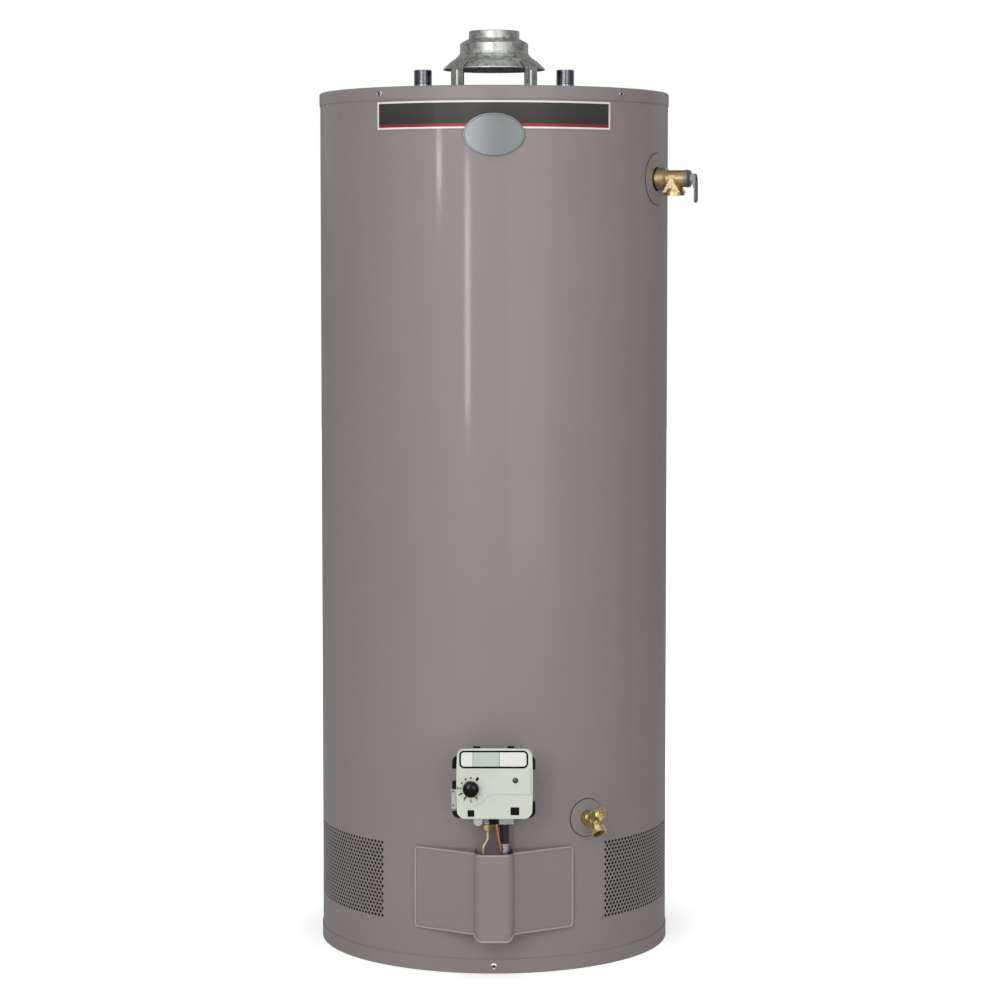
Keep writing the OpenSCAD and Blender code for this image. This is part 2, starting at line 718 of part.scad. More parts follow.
module inner_door_gasket()
  color("#c9c4b4") difference() {
    door_cut(inner_door_w, inner_door_h, tank_r + slip, tank_r + slip + gasket_t);
    translate([0, 0, opening_z]) rotate([90, 0, 0])
      rounded_plate(inner_opening_w, inner_opening_h, 2 * tank_r, 8);
    inner_door_holes(tank_r);
  }

module inner_door_screws()
  color(steel) for (x = [-1, 1], z = [-1, 1])
    translate([x * corner_screw_x, 0, opening_z + z * (inner_door_h / 2 - 6)]) rotate([90, 0, 0]) {
      seat = sqrt(pow(inner_door_inner_r + inner_door_t, 2) - pow(corner_screw_x - screw_head_d / 2,
        2)) + slip;
      translate([0, 0, seat]) cylinder(d = screw_head_d, h = screw_head_h, $fn = 24);
      translate([0, 0, seat - 8]) cylinder(d = screw_d, h = 8.5, $fn = 24);
    }

module sight_glass() {
  glass_r = sight_r - slip;
  at = sqrt(pow(inner_door_inner_r, 2) - pow(sight_x, 2));
  color("#9fb7bf") translate([sight_x, 0, opening_z + sight_z]) rotate([90, 0, 0])
    translate([0, 0, at - 5]) cylinder(r = glass_r, h = 8);
}

module tube_grommet()
  color(black_plastic) difference() {
    translate([0, 0, tube_turn_z]) rotate([90, 0, 0]) translate([0, 0, tank_r - 2])
      rounded_plate(grommet_w - 2 * slip, grommet_h - 2 * slip, gasket_t + 12, 5 - slip);
    for (t = [[supply_x, supply_d], [pilot_x, pilot_d], [sensor_in_x, sensor_lead_d],
      [spark_x, spark_lead_d]])
      translate([t[0], 0, tube_turn_z]) rotate([90, 0, 0]) cylinder(d = t[1] + 2 * slip, h = 2 * tank_r);
  }

// ---------- Outer door ----------

// The wings as seen from above, from the jacket's middle out, taken in by t.
module wing_plan(t) {
  edge_r = jacket_r + door_edge_stand;
  edge_x = edge_r * sin(door_half_angle) - t;
  edge_y = edge_r * cos(door_half_angle) - t / cos(wing_angle) + t * tan(wing_angle);
  inner_x = channel_w / 3;
  inner_y = edge_y + (edge_x - inner_x) * tan(wing_angle);
  polygon([
    [-edge_x, -jacket_r / 2], [-edge_x, -edge_y], [-inner_x, -inner_y], [inner_x, -inner_y],
    [edge_x, -edge_y], [edge_x, -jacket_r / 2]]);
}

// The tube channel, from z = 0 up, taken in by t.
module channel_block(t, h) {
  half = channel_w / 2 - t;
  front = jacket_r + channel_stand - t;
  corner = channel_w / 4;
  for (x = [-1, 1]) translate([x * (half - corner), -front + corner, 0]) cylinder(r = corner, h = h);
  translate([-half, -front + corner, 0]) cube([2 * half, front - corner - jacket_r / 2, h]);
  translate([-half + corner, -front, 0]) cube([2 * (half - corner), front - jacket_r / 2, h]);
}

module outer_door() {
  edge_x = (jacket_r + door_edge_stand) * sin(door_half_angle);
  low = door_z - channel_drop;
  difference() {
    color(paint) intersection() {
      union() {
        translate([0, 0, door_z]) linear_extrude(door_h) wing_plan(0);
        translate([0, 0, low]) channel_block(0, door_h + channel_drop);
      }
      union() {
        translate([0, 0, door_z + door_h / 2]) rotate([90, 0, 0]) intersection() {
          rounded_plate(2 * edge_x, door_h, 2 * jacket_r, 4);
          translate([0, 10, 0]) rounded_plate(2 * edge_x + 0.6, door_h + 20, 2 * jacket_r, 9);
        }
        translate([0, 0, (low + door_top) / 2]) rotate([90, 0, 0])
          rounded_plate(channel_w, door_top - low, 2 * jacket_r, 12);
      }
    }
    color(paint) translate([0, 0, door_z + door_wall]) linear_extrude(door_h - 2 * door_wall)
      wing_plan(door_wall);
    color(paint) translate([0, 0, low + door_wall + 3]) channel_block(door_wall, door_h + channel_drop);
    color(paint) cylinder(r = jacket_r + clear, h = body_h);
  }
}

// ---------- Gas control ----------

casting_w = 84;
casting_h = 92;
casting_top = 31;
casting_stand = 6;
frame_h = 10;
cover_y = jacket_r + cover_stand;
cover_wall = 2;
pad_rise = 3;
dial_x = -31;
dial_dz = -4;
stem_r = 3.5;
dial_gap = dial_travel + 0.8;
lens_x = 29.4;
lens_dz = 6.5;
lens_d = 8;
port_x = [-31, 28.7];
port_dz = [-39, -36];
port_w = [9.2, 12];
port_h = [9.2, 11];
label_w = 92;
label_h = 22.8;
label_dz = 35;
cover_crest = 3;
cover_slope = 10;
cover_x = 1.2;
lug_x = -21.5;
lug_dz = -cover_h / 2 - 7;
pad_low = -12;
pad_r = 24;
pad_fillet = 12;
igniter_x = -53;
igniter_y = -cover_y + 8;
igniter_z = control_z - 38;
igniter_h = 27;
button_h = 11;
inlet_z = control_z;

module control_casting() {
  depth = cover_stand - casting_stand - frame_h;
  inlet_y = jacket_r + casting_stand + depth / 2;
  color("#a9abac") difference() {
    union() {
      radial(0, control_z) translate([0, casting_top / 2 - casting_h / 4, jacket_r + casting_stand])
        rounded_plate(casting_w, casting_top + casting_h / 2, depth, 10);
      radial(0, control_z) translate([0, 0, tank_r + spud_h])
        cylinder(r = spud_bore_r + 4, h = foam_t + casting_stand - spud_h + 2);
      translate([casting_w / 2 - 4, -inlet_y, inlet_z]) rotate([0, 90, 0])
        cylinder(r = gas_inlet_d / 2 + 4, h = 14);
      translate([supply_x + 3 - outlet_w / 2, tube_y - outlet_w / 2, control_z - outlet_drop])
        cube([outlet_w, outlet_w, 20]);
      translate([pilot_top_x, tube_y, control_z - 62]) cylinder(r = 6, h = 18);
    }
    translate([casting_w / 2 - 6, -inlet_y, inlet_z]) rotate([0, 90, 0]) cylinder(d = gas_inlet_d, h = 20);
    translate([supply_x, tube_y, control_z - outlet_drop - 1]) cylinder(r = supply_d / 2 + slip, h = 14);
    translate([pilot_top_x, tube_y, control_z - 63]) cylinder(r = 3.8 + slip, h = 8);
    radial(0, control_z) cylinder(r = nipple_d / 2 + slip, h = jacket_r + casting_stand + 10);
    translate([dial_x, 0, control_z + dial_dz]) rotate([90, 0, 0])
      cylinder(r = stem_r + running, h = 2 * jacket_r);
  }
}

module thermowell()
  color(steel) radial(0, control_z) {
    translate([0, 0, tank_r - tank_wall]) cylinder(d = nipple_d, h = foam_t + casting_stand + tank_wall + 6);
    translate([0, 0, tank_r - thermowell_l]) cylinder(r = 4.5, h = thermowell_l);
  }

// The black frame behind the cover: its corners and two top clips show past the cover.
module control_frame() {
  w = cover_w + 9.5;
  h = cover_h - 9;
  dz = -h / 2 + 35;
  color(black_plastic) difference() {
    radial(0, control_z) translate([0, 0, cover_y - frame_h]) {
      translate([0, dz, 0]) rounded_plate(w, h, frame_h, 9);
      translate([-32, 0, 0]) cube([64, cover_h / 2 - 7, frame_h]);
      for (x = [-1, 1]) translate([x * 23.3 - 4.7, cover_h / 2 - 8, 0]) cube([9.4, 8.5, frame_h - 1]);
      translate([lug_x, lug_dz, 0]) cylinder(r = 6, h = frame_h);
    }
    radial(0, control_z) translate([0, 0, cover_y - frame_h - 1]) {
      translate([w / 2 - 6, -29, 0]) cube([20, 46, frame_h + 2]);
      translate([-w / 2 - 14, -42, 0]) cube([24, 60, frame_h + 2]);
      translate([dial_x, dial_dz, 0]) cylinder(r = stem_r + running, h = 30);
      translate([lug_x, lug_dz, 0]) cylinder(d = screw_d + 0.3, h = 30);
    }
  }
}

// The raised pad: a band across the cover that runs down around the dial.
module dial_pad(h) {
  reach = pad_r + pad_fillet - 0.2;
  fy = pad_low - pad_fillet + 0.1;
  fx = dial_x + sqrt(reach * reach - pow(dial_dz - fy, 2));
  meet = [dial_x, dial_dz] + (pad_r - 0.1) / reach * ([fx, fy] - [dial_x, dial_dz]);
  translate([-cover_w, pad_low, 0]) cube([2 * cover_w, label_dz - label_h / 2 - pad_low - 1, h]);
  translate([dial_x, dial_dz, 0]) cylinder(r = pad_r, h = h);
  difference() {
    linear_extrude(h) polygon([[dial_x, pad_low + 1], [fx, pad_low + 1], [fx, fy], meet]);
    translate([fx, fy, -1]) cylinder(r = pad_fillet, h = h + 2);
  }
}

module control_cover() {
  front = cover_y + slip;
  color(white_plastic) radial(0, control_z) difference() {
    union() {
      difference() {
        translate([cover_x, cover_crest / 2, front])
          soft_plate(cover_w, cover_h + cover_crest, cover_depth, 16, 3.5, 1.6);
        translate([-cover_w, cover_h / 2 - 1.2, front]) rotate([-cover_slope, 0, 0]) translate([0, 0, -10])
          cube([2 * cover_w, 20, 60]);
      }
      intersection() {
        translate([cover_x, 0, front])
          soft_plate(cover_w - 5, cover_h - 5, cover_depth + pad_rise, 14, 4, 1.6);
        translate([0, 0, front]) dial_pad(cover_depth + pad_rise);
      }
      translate([lug_x, lug_dz, front]) cylinder(r = 6, h = 4);
      translate([lug_x - 6, lug_dz, front]) cube([12, 12, 4]);
    }
    translate([cover_x, 0, front - 1])
      rounded_plate(cover_w - 2 * cover_wall - 6, cover_h - 2 * cover_wall - 8,
        cover_depth - cover_wall + 1, 5);
    translate([0, label_dz, front + cover_depth - 0.8]) rounded_plate(label_w, label_h, 10, 6);
    translate([dial_x, dial_dz, front - 1]) cylinder(r = stem_r + 0.4, h = cover_depth + 10);
    translate([lens_x, lens_dz, front - 1]) cylinder(d = lens_d, h = cover_depth + 10);
    for (k = [0, 1]) translate([port_x[k] - port_w[k] / 2, port_dz[k] - port_h[k] / 2, front - 1])
      cube([port_w[k], port_h[k], cover_depth + 10]);
    translate([lug_x, lug_dz, front - 1]) cylinder(d = screw_d + 0.3, h = 10);
  }
}

module control_label()
  color("#eceee9") radial(0, control_z) translate([0, label_dz, cover_y + slip + cover_depth - 0.8])
    rounded_plate(label_w - 1, label_h - 1, 0.6, 5.5);

module control_lug_screw()
  color(steel) radial(0, control_z) translate([lug_x, lug_dz, cover_y - frame_h]) {
    cylinder(d = screw_d, h = frame_h + 6, $fn = 24);
    translate([0, 0, frame_h + slip + 4.1]) cylinder(d = 8, h = 2, $fn = 24);
  }

module status_lens()
  color("#39433c") radial(0, control_z)
    translate([lens_x, lens_dz, cover_y + slip + 4])
      cylinder(d = lens_d - 2 * slip, h = cover_depth + pad_rise - 4.5);

// The plugs in the cover's ports and the terminal that takes the flame sensor's lead.
module port_plugs()
  color(black_plastic) {
    radial(0, control_z) for (k = [0, 1])
      translate([port_x[k], port_dz[k], cover_y + slip])
        translate([-port_w[k] / 2 + slip, -port_h[k] / 2 + slip, 0])
          cube([port_w[k] - 2 * slip, port_h[k] - 2 * slip, cover_depth - 1.5]);
    difference() {
      translate([sensor_x - 10, sensor_y - 6, control_z - 62]) cube([12, 9.8, 62 - casting_h / 2]);
      translate([sensor_x, sensor_y, control_z - 63]) cylinder(r = sensor_lead_d / 2 + slip, h = 12);
    }
  }

module dial_stem()
  color(steel) radial(0, control_z) translate([dial_x, dial_dz, cover_y - frame_h - 8])
    cylinder(r = stem_r, h = frame_h + 8 + slip + cover_depth + pad_rise + dial_gap + dial_h - 4);

module temperature_dial() {
  back = cover_y + slip + cover_depth + pad_rise + dial_gap;
  flutes = 18;
  color(black_plastic) radial(0, control_z) translate([dial_x, dial_dz, back]) difference() {
    union() {
      cylinder(d = dial_d, h = 3);
      translate([0, 0, 3]) cylinder(d1 = dial_d - 1.6, d2 = dial_d - 4, h = dial_h - 4);
      translate([0, 0, dial_h - 1]) cylinder(d1 = dial_d - 4, d2 = dial_d - 6, h = 1);
    }
    for (k = [0:flutes - 1]) rotate([0, 0, k * 360 / flutes]) translate([dial_d / 2 - 0.9, 0, 3.5])
      cylinder(r = 0.8, h = dial_h, $fn = 16);
    translate([-0.75, dial_d / 2 - 8, dial_h - 0.6]) cube([1.5, 10, 2]);
    translate([0, 0, -1]) cylinder(r = stem_r + running, h = dial_h - 3);
  }
}

module igniter_body()
  color("#c9cbc6") translate([igniter_x, igniter_y, igniter_z]) difference() {
    union() {
      cylinder(r = 5, h = igniter_h);
      translate([0, 0, igniter_h - 2]) cylinder(r = 5.6, h = 2);
      translate([2, -3, 3]) cube([3.8, 6, 20]);
    }
    translate([0, 0, igniter_h - button_travel - 4]) cylinder(r = 4 + running, h = 40);
    translate([0, 0, 4]) rotate([-90, 0, 0]) cylinder(r = spark_lead_d / 2 + slip, h = 10);
  }

module igniter_button()
  color("#4c1416") translate([igniter_x, igniter_y, igniter_z + igniter_h - 3.5]) {
    cylinder(r = 4, h = button_h + 3.5);
  }

// ---------- Relief valve ----------

shank_r = jacket_r + sheet_t + slip;
relief_in_r = 16;
relief_barrel_r = 12;
relief_neck = jacket_r + 18;
relief_end = jacket_r + 47;
bonnet_end = relief_end + 4;
pin_gap = 4.5;
pin_at = bonnet_end + pin_gap;
pin_r = 1.6;
relief_outlet_at = jacket_r + 27;
relief_outlet_drop = 23.5;
relief_thread_l = 13;
relief_stem_r = 2.4;
lever_w = 12;
ear_t = 1.8;
ear_x = relief_stem_r + 0.5;

module relief_plate()
  color(paint) difference() {
    wrapped(relief_azimuth, relief_z, slip, 1.2) cylinder(d = relief_plate_d, h = jacket_r);
    radial(relief_azimuth, relief_z) cylinder(r = relief_hole_r, h = 2 * jacket_r);
  }

module relief_body()
  color(brass) radial(relief_azimuth, relief_z) difference() {
    union() {
      translate([0, 0, tank_r - tank_wall]) cylinder(d = nipple_d, h = foam_t + 8);
      translate([0, 0, jacket_r + 4]) cylinder(r = relief_in_r, h = relief_neck - jacket_r - 7);
      translate([0, 0, relief_neck - 3]) cylinder(r1 = relief_in_r, r2 = relief_barrel_r, h = 3);
      translate([0, 0, relief_neck]) cylinder(r = relief_barrel_r, h = relief_end - relief_neck);
      translate([0, 0, relief_outlet_at]) rotate([90, 0, 0]) {
        cylinder(r1 = relief_barrel_r - 4, r2 = relief_outlet_d / 2 + 3, h = relief_outlet_drop - 4.5);
        translate([0, 0, relief_outlet_drop - 4.5]) cylinder(r = relief_outlet_d / 2 + 3, h = 4.5);
      }
      translate([-relief_barrel_r - 0.8, 0, relief_outlet_at]) rotate([0, 90, 0])
        linear_extrude(2 * relief_barrel_r + 1.6)
        polygon([[-4.5, 5], [4.5, 5], [3, -2], [13, -19.5], [-13, -19.5], [-3, -2]]);
    }
    translate([0, 0, relief_outlet_at]) rotate([90, 0, 0]) {
      translate([0, 0, relief_outlet_drop - relief_thread_l]) cylinder(d = relief_outlet_d, h = 20);
      cylinder(r = relief_barrel_r - 4, h = relief_outlet_drop - 5);
    }
    translate([0, 0, relief_neck]) cylinder(r = relief_barrel_r - 3, h = 60);
    translate([0, 0, tank_r - tank_wall - 1]) cylinder(r = 6 + slip, h = 9);
  }

module relief_bonnet()
  color("#8b8d8f") radial(relief_azimuth, relief_z) translate([0, 0, relief_end]) difference() {
    union() {
      translate([0, 0, slip]) cylinder(r = relief_barrel_r, h = 3);
      translate([0, 0, 3]) cylinder(r1 = relief_barrel_r, r2 = relief_barrel_r - 2,
        h = bonnet_end - relief_end - 3);
      translate([0, 0, -6]) cylinder(r = relief_barrel_r - 3 - slip, h = 7);
    }
    translate([0, 0, -10]) cylinder(r = relief_stem_r + running, h = 30);
  }

module relief_stem()
  color(steel) radial(relief_azimuth, relief_z) {
    translate([0, 0, relief_neck + 6]) cylinder(r = relief_stem_r, h = pin_at + 2.4 - relief_neck - 6);
    translate([0, 0, relief_neck + 1]) cylinder(r = relief_barrel_r - 4.5, h = 5.5);
    translate([-lever_w / 2, 0, pin_at]) rotate([0, 90, 0]) cylinder(r = pin_r, h = lever_w, $fn = 24);
  }

module relief_probe()
  color(copper) radial(relief_azimuth, relief_z) translate([0, 0, tank_r - probe_l])
    cylinder(r = 6, h = probe_l - tank_wall + 7);

// One ear of the lever: its heel is a cam that keeps the same clearance while the stem lifts.
module lever_ear() {
  heel = pin_gap - clear;
  rise = stem_lift / (PI / 2);
  difference() {
    linear_extrude(ear_t) polygon([
      for (a = [0:10:90]) (heel + stem_lift * a / 90) * [sin(a), -cos(a)] + rise * [cos(a), sin(a)],
      [heel + stem_lift - 1, 3.4], [heel, 4.6], [0, 5], [-lever_l * 0.45, 5], [-lever_l * 0.45, 2.4],
        [-heel, -0.6], [-heel * 0.5, -heel]]);
    translate([0, 0, -1]) cylinder(r = pin_r + running, h = ear_t + 2);
  }
}

module relief_lever()
  color("#7d8082") radial(relief_azimuth, relief_z) translate([0, 0, pin_at]) {
    for (x = [ear_x, -ear_x - ear_t]) translate([x, 0, 0]) multmatrix([
      [0, 0, 1, 0], [1, 0, 0, 0], [0, 1, 0, 0], [0, 0, 0, 1]]) lever_ear();
    translate([-lever_w / 2, -lever_l + 5, 3]) cube([lever_w, lever_l - 9, 2]);
    translate([0, -lever_l + 5, 3]) cylinder(d = lever_w, h = 2);
  }

// ---------- Drain valve ----------

elbow_at = jacket_r + 17;
elbow_r = 9;
bonnet_seat = 13;
bonnet_h = 11;
boss_r = 5.5;
chamber_r = 5.2;
drain_shaft_r = 3;
washer_h = 2.5;
outlet_neck = 14;
drain_neck_d = 19;

module drain_frame(tilt)
  radial(drain_azimuth, drain_z) translate([0, 0, elbow_at]) rotate([-tilt, 0, 0]) children();

module drain_plate()
  color(paint) difference() {
    wrapped(drain_azimuth, drain_z, slip, 1.2) cylinder(d = drain_plate_d, h = jacket_r);
    radial(drain_azimuth, drain_z) cylinder(d = drain_neck_d + 1, h = 2 * jacket_r);
  }

module drain_body()
  color(brass) difference() {
    union() {
      radial(drain_azimuth, drain_z) {
        translate([0, 0, tank_r - tank_wall]) cylinder(d = nipple_d, h = foam_t + tank_wall - 2);
        translate([0, 0, jacket_r - 3]) cylinder(d = drain_neck_d, h = 11);
        translate([0, 0, jacket_r + 6]) cylinder(r = 6.5, h = 11);
        translate([0, 0, elbow_at]) sphere(r = elbow_r);
      }
      drain_frame(drain_stem_angle) cylinder(r = 7.5, h = bonnet_seat);
      drain_frame(-drain_outlet_angle) {
        cylinder(r = 6.2, h = outlet_neck + 1);
        translate([0, 0, outlet_neck - 2]) cylinder(r1 = 6.2, r2 = hose_outlet_d / 2, h = 2);
        translate([0, 0, outlet_neck]) cylinder(d = hose_outlet_d, h = hose_outlet_l);
      }
    }
    drain_frame(drain_stem_angle) cylinder(r = chamber_r, h = 30);
    drain_frame(-drain_outlet_angle) translate([0, 0, 8]) cylinder(r = 4.6, h = 40);
    drain_frame(-drain_outlet_angle) translate([0, 0, outlet_neck + 1])
      cylinder(r = hose_outlet_d / 2 - 3, h = 40);
  }

module drain_bonnet()
  color(brass) drain_frame(drain_stem_angle) translate([0, 0, bonnet_seat + slip]) difference() {
    union() {
      hexagon(17, bonnet_h - 2);
      translate([0, 0, bonnet_h - 2]) cylinder(r1 = 8.5, r2 = 7.5, h = 2);
    }
    translate([0, 0, -1]) cylinder(r = drain_shaft_r + running, h = bonnet_h + 2);
  }

module drain_stem()
  color("#a98a45") drain_frame(drain_stem_angle) difference() {
    union() {
      translate([0, 0, washer_h + 0.6])
        cylinder(r = chamber_r - 0.6, h = bonnet_seat - washer_h - 0.6 - washer_lift - clear);
      translate([0, 0, washer_h + 1]) cylinder(r = drain_shaft_r, h = bonnet_seat + bonnet_h - washer_h + 3);
      translate([0, 0, bonnet_seat + slip + bonnet_h + clear]) cylinder(r = boss_r, h = 4.5);
    }
    translate([-0.8, -boss_r - 1, bonnet_seat + slip + bonnet_h + clear + 2.2])
      cube([1.6, 2 * boss_r + 2, 5]);
  }

module drain_washer()
  color("#2a2a2a") drain_frame(drain_stem_angle) translate([0, 0, 0.3])
    cylinder(r = chamber_r - 0.3, h = washer_h);

// ---------- Draft hood ----------

hood_r = hood_rim_d / 2;
leg_r = hood_r + 0.6;
foot_l = 14;
foot_screw_r = leg_r + hood_t + foot_l / 2;
large_collar_z = hood_gap + 25;
shoulder_z = large_collar_z + large_collar_h;
small_collar_z = shoulder_z + 7.5;
hood_top = small_collar_z + small_collar_h;
rivet_drop = 0.45;

// Outside of the hood from its rim to its top, as [radius, height over the cap].
hood_outline = [
  [hood_r, hood_gap], [hood_r, hood_gap + 1.2],
  [hood_r - 0.42 * (hood_r - large_collar_d / 2), hood_gap + 11],
  [hood_r - 0.8 * (hood_r - large_collar_d / 2), hood_gap + 17.5],
  [large_collar_d / 2 + 0.9, large_collar_z - 3], [large_collar_d / 2, large_collar_z],
  [large_collar_d / 2, shoulder_z], [large_collar_d / 2 - 2, shoulder_z + 1.8],
  [small_collar_d / 2 + 1.2, small_collar_z - 0.6], [small_collar_d / 2, small_collar_z],
  [small_collar_d / 2, hood_top], [small_collar_d / 2 - 1, hood_top + 1]];

module draft_hood() {
  last = len(hood_outline) - 1;
  color(galvanised) translate([0, 0, cap_top]) rotate_extrude() polygon([
    for (p = hood_outline) p,
    for (k = [last:-1:0])
      hood_outline[k] - [hood_t * (k == 0 ? 1.4 : 1), k == last ? 0.6 : (k == 0 ? 0 : hood_t * 0.45)]]);
}

// Points along the outside of a leg in [radius, height over the cap].
cone_start = hood_outline[1];
cone_next = hood_outline[2];

module leg_profile() {
  lift = 0.5;
  run = cone_next - cone_start;
  side = [run[1], -run[0]] / norm(run);
  low_in = cone_start + side * lift;
  high_in = cone_next + side * lift;
  high_out = high_in + side * hood_t;
  polygon([
    [leg_r, 0], [leg_r, hood_gap - 1], low_in, high_in, high_out, low_in + side * hood_t,
    [leg_r + hood_t, hood_gap - 1], [leg_r + hood_t, hood_t], [leg_r + hood_t + foot_l, hood_t],
    [leg_r + hood_t + foot_l, 0]]);
}

module hood_legs()
  color(galvanised) for (k = [0:3]) rotate([0, 0, 45 + 90 * k]) difference() {
    union() {
      rotate([90, 0, -90]) translate([0, cap_top, -leg_w / 2]) linear_extrude(leg_w) leg_profile();
      translate([0, -leg_r - hood_t + 0.4, cap_top + 3]) cylinder(r = 2.6, h = hood_gap - 6);
    }
    translate([0, -leg_r + 4, cap_top - 1]) cylinder(r = 4, h = hood_gap);
    translate([0, -foot_screw_r, cap_top - 1]) cylinder(d = screw_d + 0.3, h = 4);
  }

module hood_fasteners()
  color(steel) for (k = [0:3]) rotate([0, 0, 45 + 90 * k]) translate([0, -foot_screw_r, cap_top]) {
    translate([0, 0, -8]) cylinder(d = screw_d, h = 8 + hood_t + 0.5, $fn = 24);
    translate([0, 0, hood_t + 0.05])
      cylinder(d1 = screw_head_d, d2 = screw_head_d - 3, h = screw_head_h, $fn = 24);
  }

// ---------- Nameplate ----------

nameplate_t = 0.9;
nameplate_top = cap_top - cap_rim_h - 3;

module nameplate()
  color("#54534f") intersection() {
    translate([0, 0, nameplate_top - nameplate_h])
      tube(jacket_r + slip + nameplate_t, jacket_r + slip, nameplate_h);
    linear_extrude(body_h) polygon([
      [0, 0], 2 * jacket_r * [-sin(nameplate_angle / 2), -cos(nameplate_angle / 2)],
      2 * jacket_r * [sin(nameplate_angle / 2), -cos(nameplate_angle / 2)]]);
  }

module nameplate_oval()
  color("#8f9291") wrapped(0, nameplate_top - nameplate_h - 8, 2 * slip + nameplate_t, 1.4)
    linear_extrude(jacket_r) polygon([
      for (a = [0:7.5:352.5]) [oval_w / 2 * cos(a), oval_h / 2 * sin(a)]]);

base_pan();
jacket();
top_cap();
cap_screws();
base_screws();
foam_insulation();
tank_shell();
top_head();
bottom_head();
tank_spuds();
flue_tube();
flue_baffle();
flame_arrestor();
burner();
supply_tube();
supply_nut();
pilot_burner();
pilot_tube();
pilot_nut();
sensor_lead();
spark_lead();
inner_door();
inner_door_gasket();
inner_door_screws();
sight_glass();
tube_grommet();
outer_door();
control_casting();
control_frame();
control_cover();
control_label();
control_lug_screw();
status_lens();
port_plugs();
dial_stem();
temperature_dial();
igniter_body();
igniter_button();
thermowell();
hot_nipple();
cold_nipple();
nipple_liner();
dip_tube();
anode_rod();
relief_body();
relief_bonnet();
relief_stem();
relief_lever();
relief_plate();
relief_probe();
drain_body();
drain_bonnet();
drain_stem();
drain_washer();
drain_plate();
draft_hood();
hood_legs();
hood_fasteners();
nameplate();
nameplate_oval();
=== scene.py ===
"""Finishes, small fittings, studio and camera for a tank water heater with a gas burner.

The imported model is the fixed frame. Each operator dresses one group of its pieces.
Lengths inside the operators are millimetres times mm, because Blender's unit is the metre.
"""
import json
import math

import bmesh
import bpy
from bpy.props import FloatProperty, FloatVectorProperty, IntProperty, PointerProperty
from mathutils import Matrix, Vector

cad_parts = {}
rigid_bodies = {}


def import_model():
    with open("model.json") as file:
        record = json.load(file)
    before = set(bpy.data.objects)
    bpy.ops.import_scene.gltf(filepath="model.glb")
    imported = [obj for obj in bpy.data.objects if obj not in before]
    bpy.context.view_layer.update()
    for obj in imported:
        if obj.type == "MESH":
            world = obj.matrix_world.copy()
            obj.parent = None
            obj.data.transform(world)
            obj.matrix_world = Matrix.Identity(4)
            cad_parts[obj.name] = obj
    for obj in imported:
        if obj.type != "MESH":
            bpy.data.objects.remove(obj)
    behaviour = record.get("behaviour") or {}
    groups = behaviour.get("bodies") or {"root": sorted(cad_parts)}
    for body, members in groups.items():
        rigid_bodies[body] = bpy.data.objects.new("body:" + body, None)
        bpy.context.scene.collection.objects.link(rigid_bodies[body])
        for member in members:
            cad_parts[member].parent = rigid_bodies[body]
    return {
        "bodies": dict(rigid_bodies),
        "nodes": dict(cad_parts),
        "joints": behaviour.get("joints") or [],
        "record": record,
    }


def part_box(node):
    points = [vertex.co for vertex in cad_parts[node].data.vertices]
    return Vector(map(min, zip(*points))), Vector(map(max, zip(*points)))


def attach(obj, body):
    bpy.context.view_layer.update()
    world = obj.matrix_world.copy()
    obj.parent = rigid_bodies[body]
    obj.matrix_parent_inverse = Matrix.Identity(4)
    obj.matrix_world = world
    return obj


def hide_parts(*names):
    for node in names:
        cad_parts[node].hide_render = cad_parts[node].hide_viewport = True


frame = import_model()

bl_info = {
    "name": "Tank water heater dressing",
    "version": (1, 0, 0),
    "blender": (4, 5, 0),
    "location": "3D View > Sidebar > Water heater",
    "description": "Finishes, fittings, studio and camera for the tank water heater",
    "category": "Add Mesh",
}

mm = 0.001
ROOT = "heater"
SLOT_OF_NODE = {s["node"]: s["material_slot"] for s in frame["record"]["subparts"]}
FINISH = {}

JACKET_RADIUS = 251 * mm
# Degrees from the front to the middle of each intake panel.
INTAKE_AZIMUTH = 71.4
# The burner door's wings end this far above the foot of its channel.
WING_FOOT = 7.5 * mm
# Radius of the jacket's opening behind each valve's cover plate.
VALVE_OPENINGS = {"relief_plate": 17 * mm, "drain_plate": 14 * mm}


# ---------- Colour and node helpers ----------


def linear(hex_colour):
    """An sRGB hex colour as the linear RGB that Blender's sockets take."""
    channels = [int(hex_colour[k:k + 2], 16) / 255 for k in (0, 2, 4)]
    return tuple(c / 12.92 if c <= 0.04045 else ((c + 0.055) / 1.055) ** 2.4 for c in channels)


def shade(colour, factor):
    """The same colour, lighter or darker."""
    return tuple(min(1.0, c * factor) for c in colour)


def add(tree, kind, inputs=None, **settings):
    """Adds a node. A socket in inputs is linked, and any other value is set on the input."""
    node = tree.nodes.new("ShaderNode" + kind)
    for name, value in settings.items():
        setattr(node, name, value)
    for key, value in (inputs or {}).items():
        if isinstance(value, bpy.types.NodeSocket):
            tree.links.new(value, node.inputs[key])
        else:
            node.inputs[key].default_value = value
    return node


def reckon(tree, operation, *values):
    return add(tree, "Math", dict(enumerate(values)), operation=operation).outputs[0]


def place_in(tree, stretch=(1, 1, 1)):
    """Object coordinates in metres, stretched where a grain runs one way."""
    coordinates = add(tree, "TexCoord").outputs["Object"]
    return add(tree, "Mapping", {"Vector": coordinates, "Scale": stretch}).outputs["Vector"]


def span(tree, value, low, high, least=0.3, most=0.7):
    """Maps value from least..most onto low..high, held at the ends."""
    return add(tree, "MapRange", {
        "Value": value, "From Min": least, "From Max": most, "To Min": low, "To Max": high}).outputs["Result"]


def blend(tree, factor, first, second):
    """A colour between first and second, each a colour or a socket."""
    first, second = (end if isinstance(end, bpy.types.NodeSocket) else (*end, 1) for end in (first, second))
    return add(tree, "Mix", {0: factor, 6: first, 7: second}, data_type="RGBA").outputs[2]


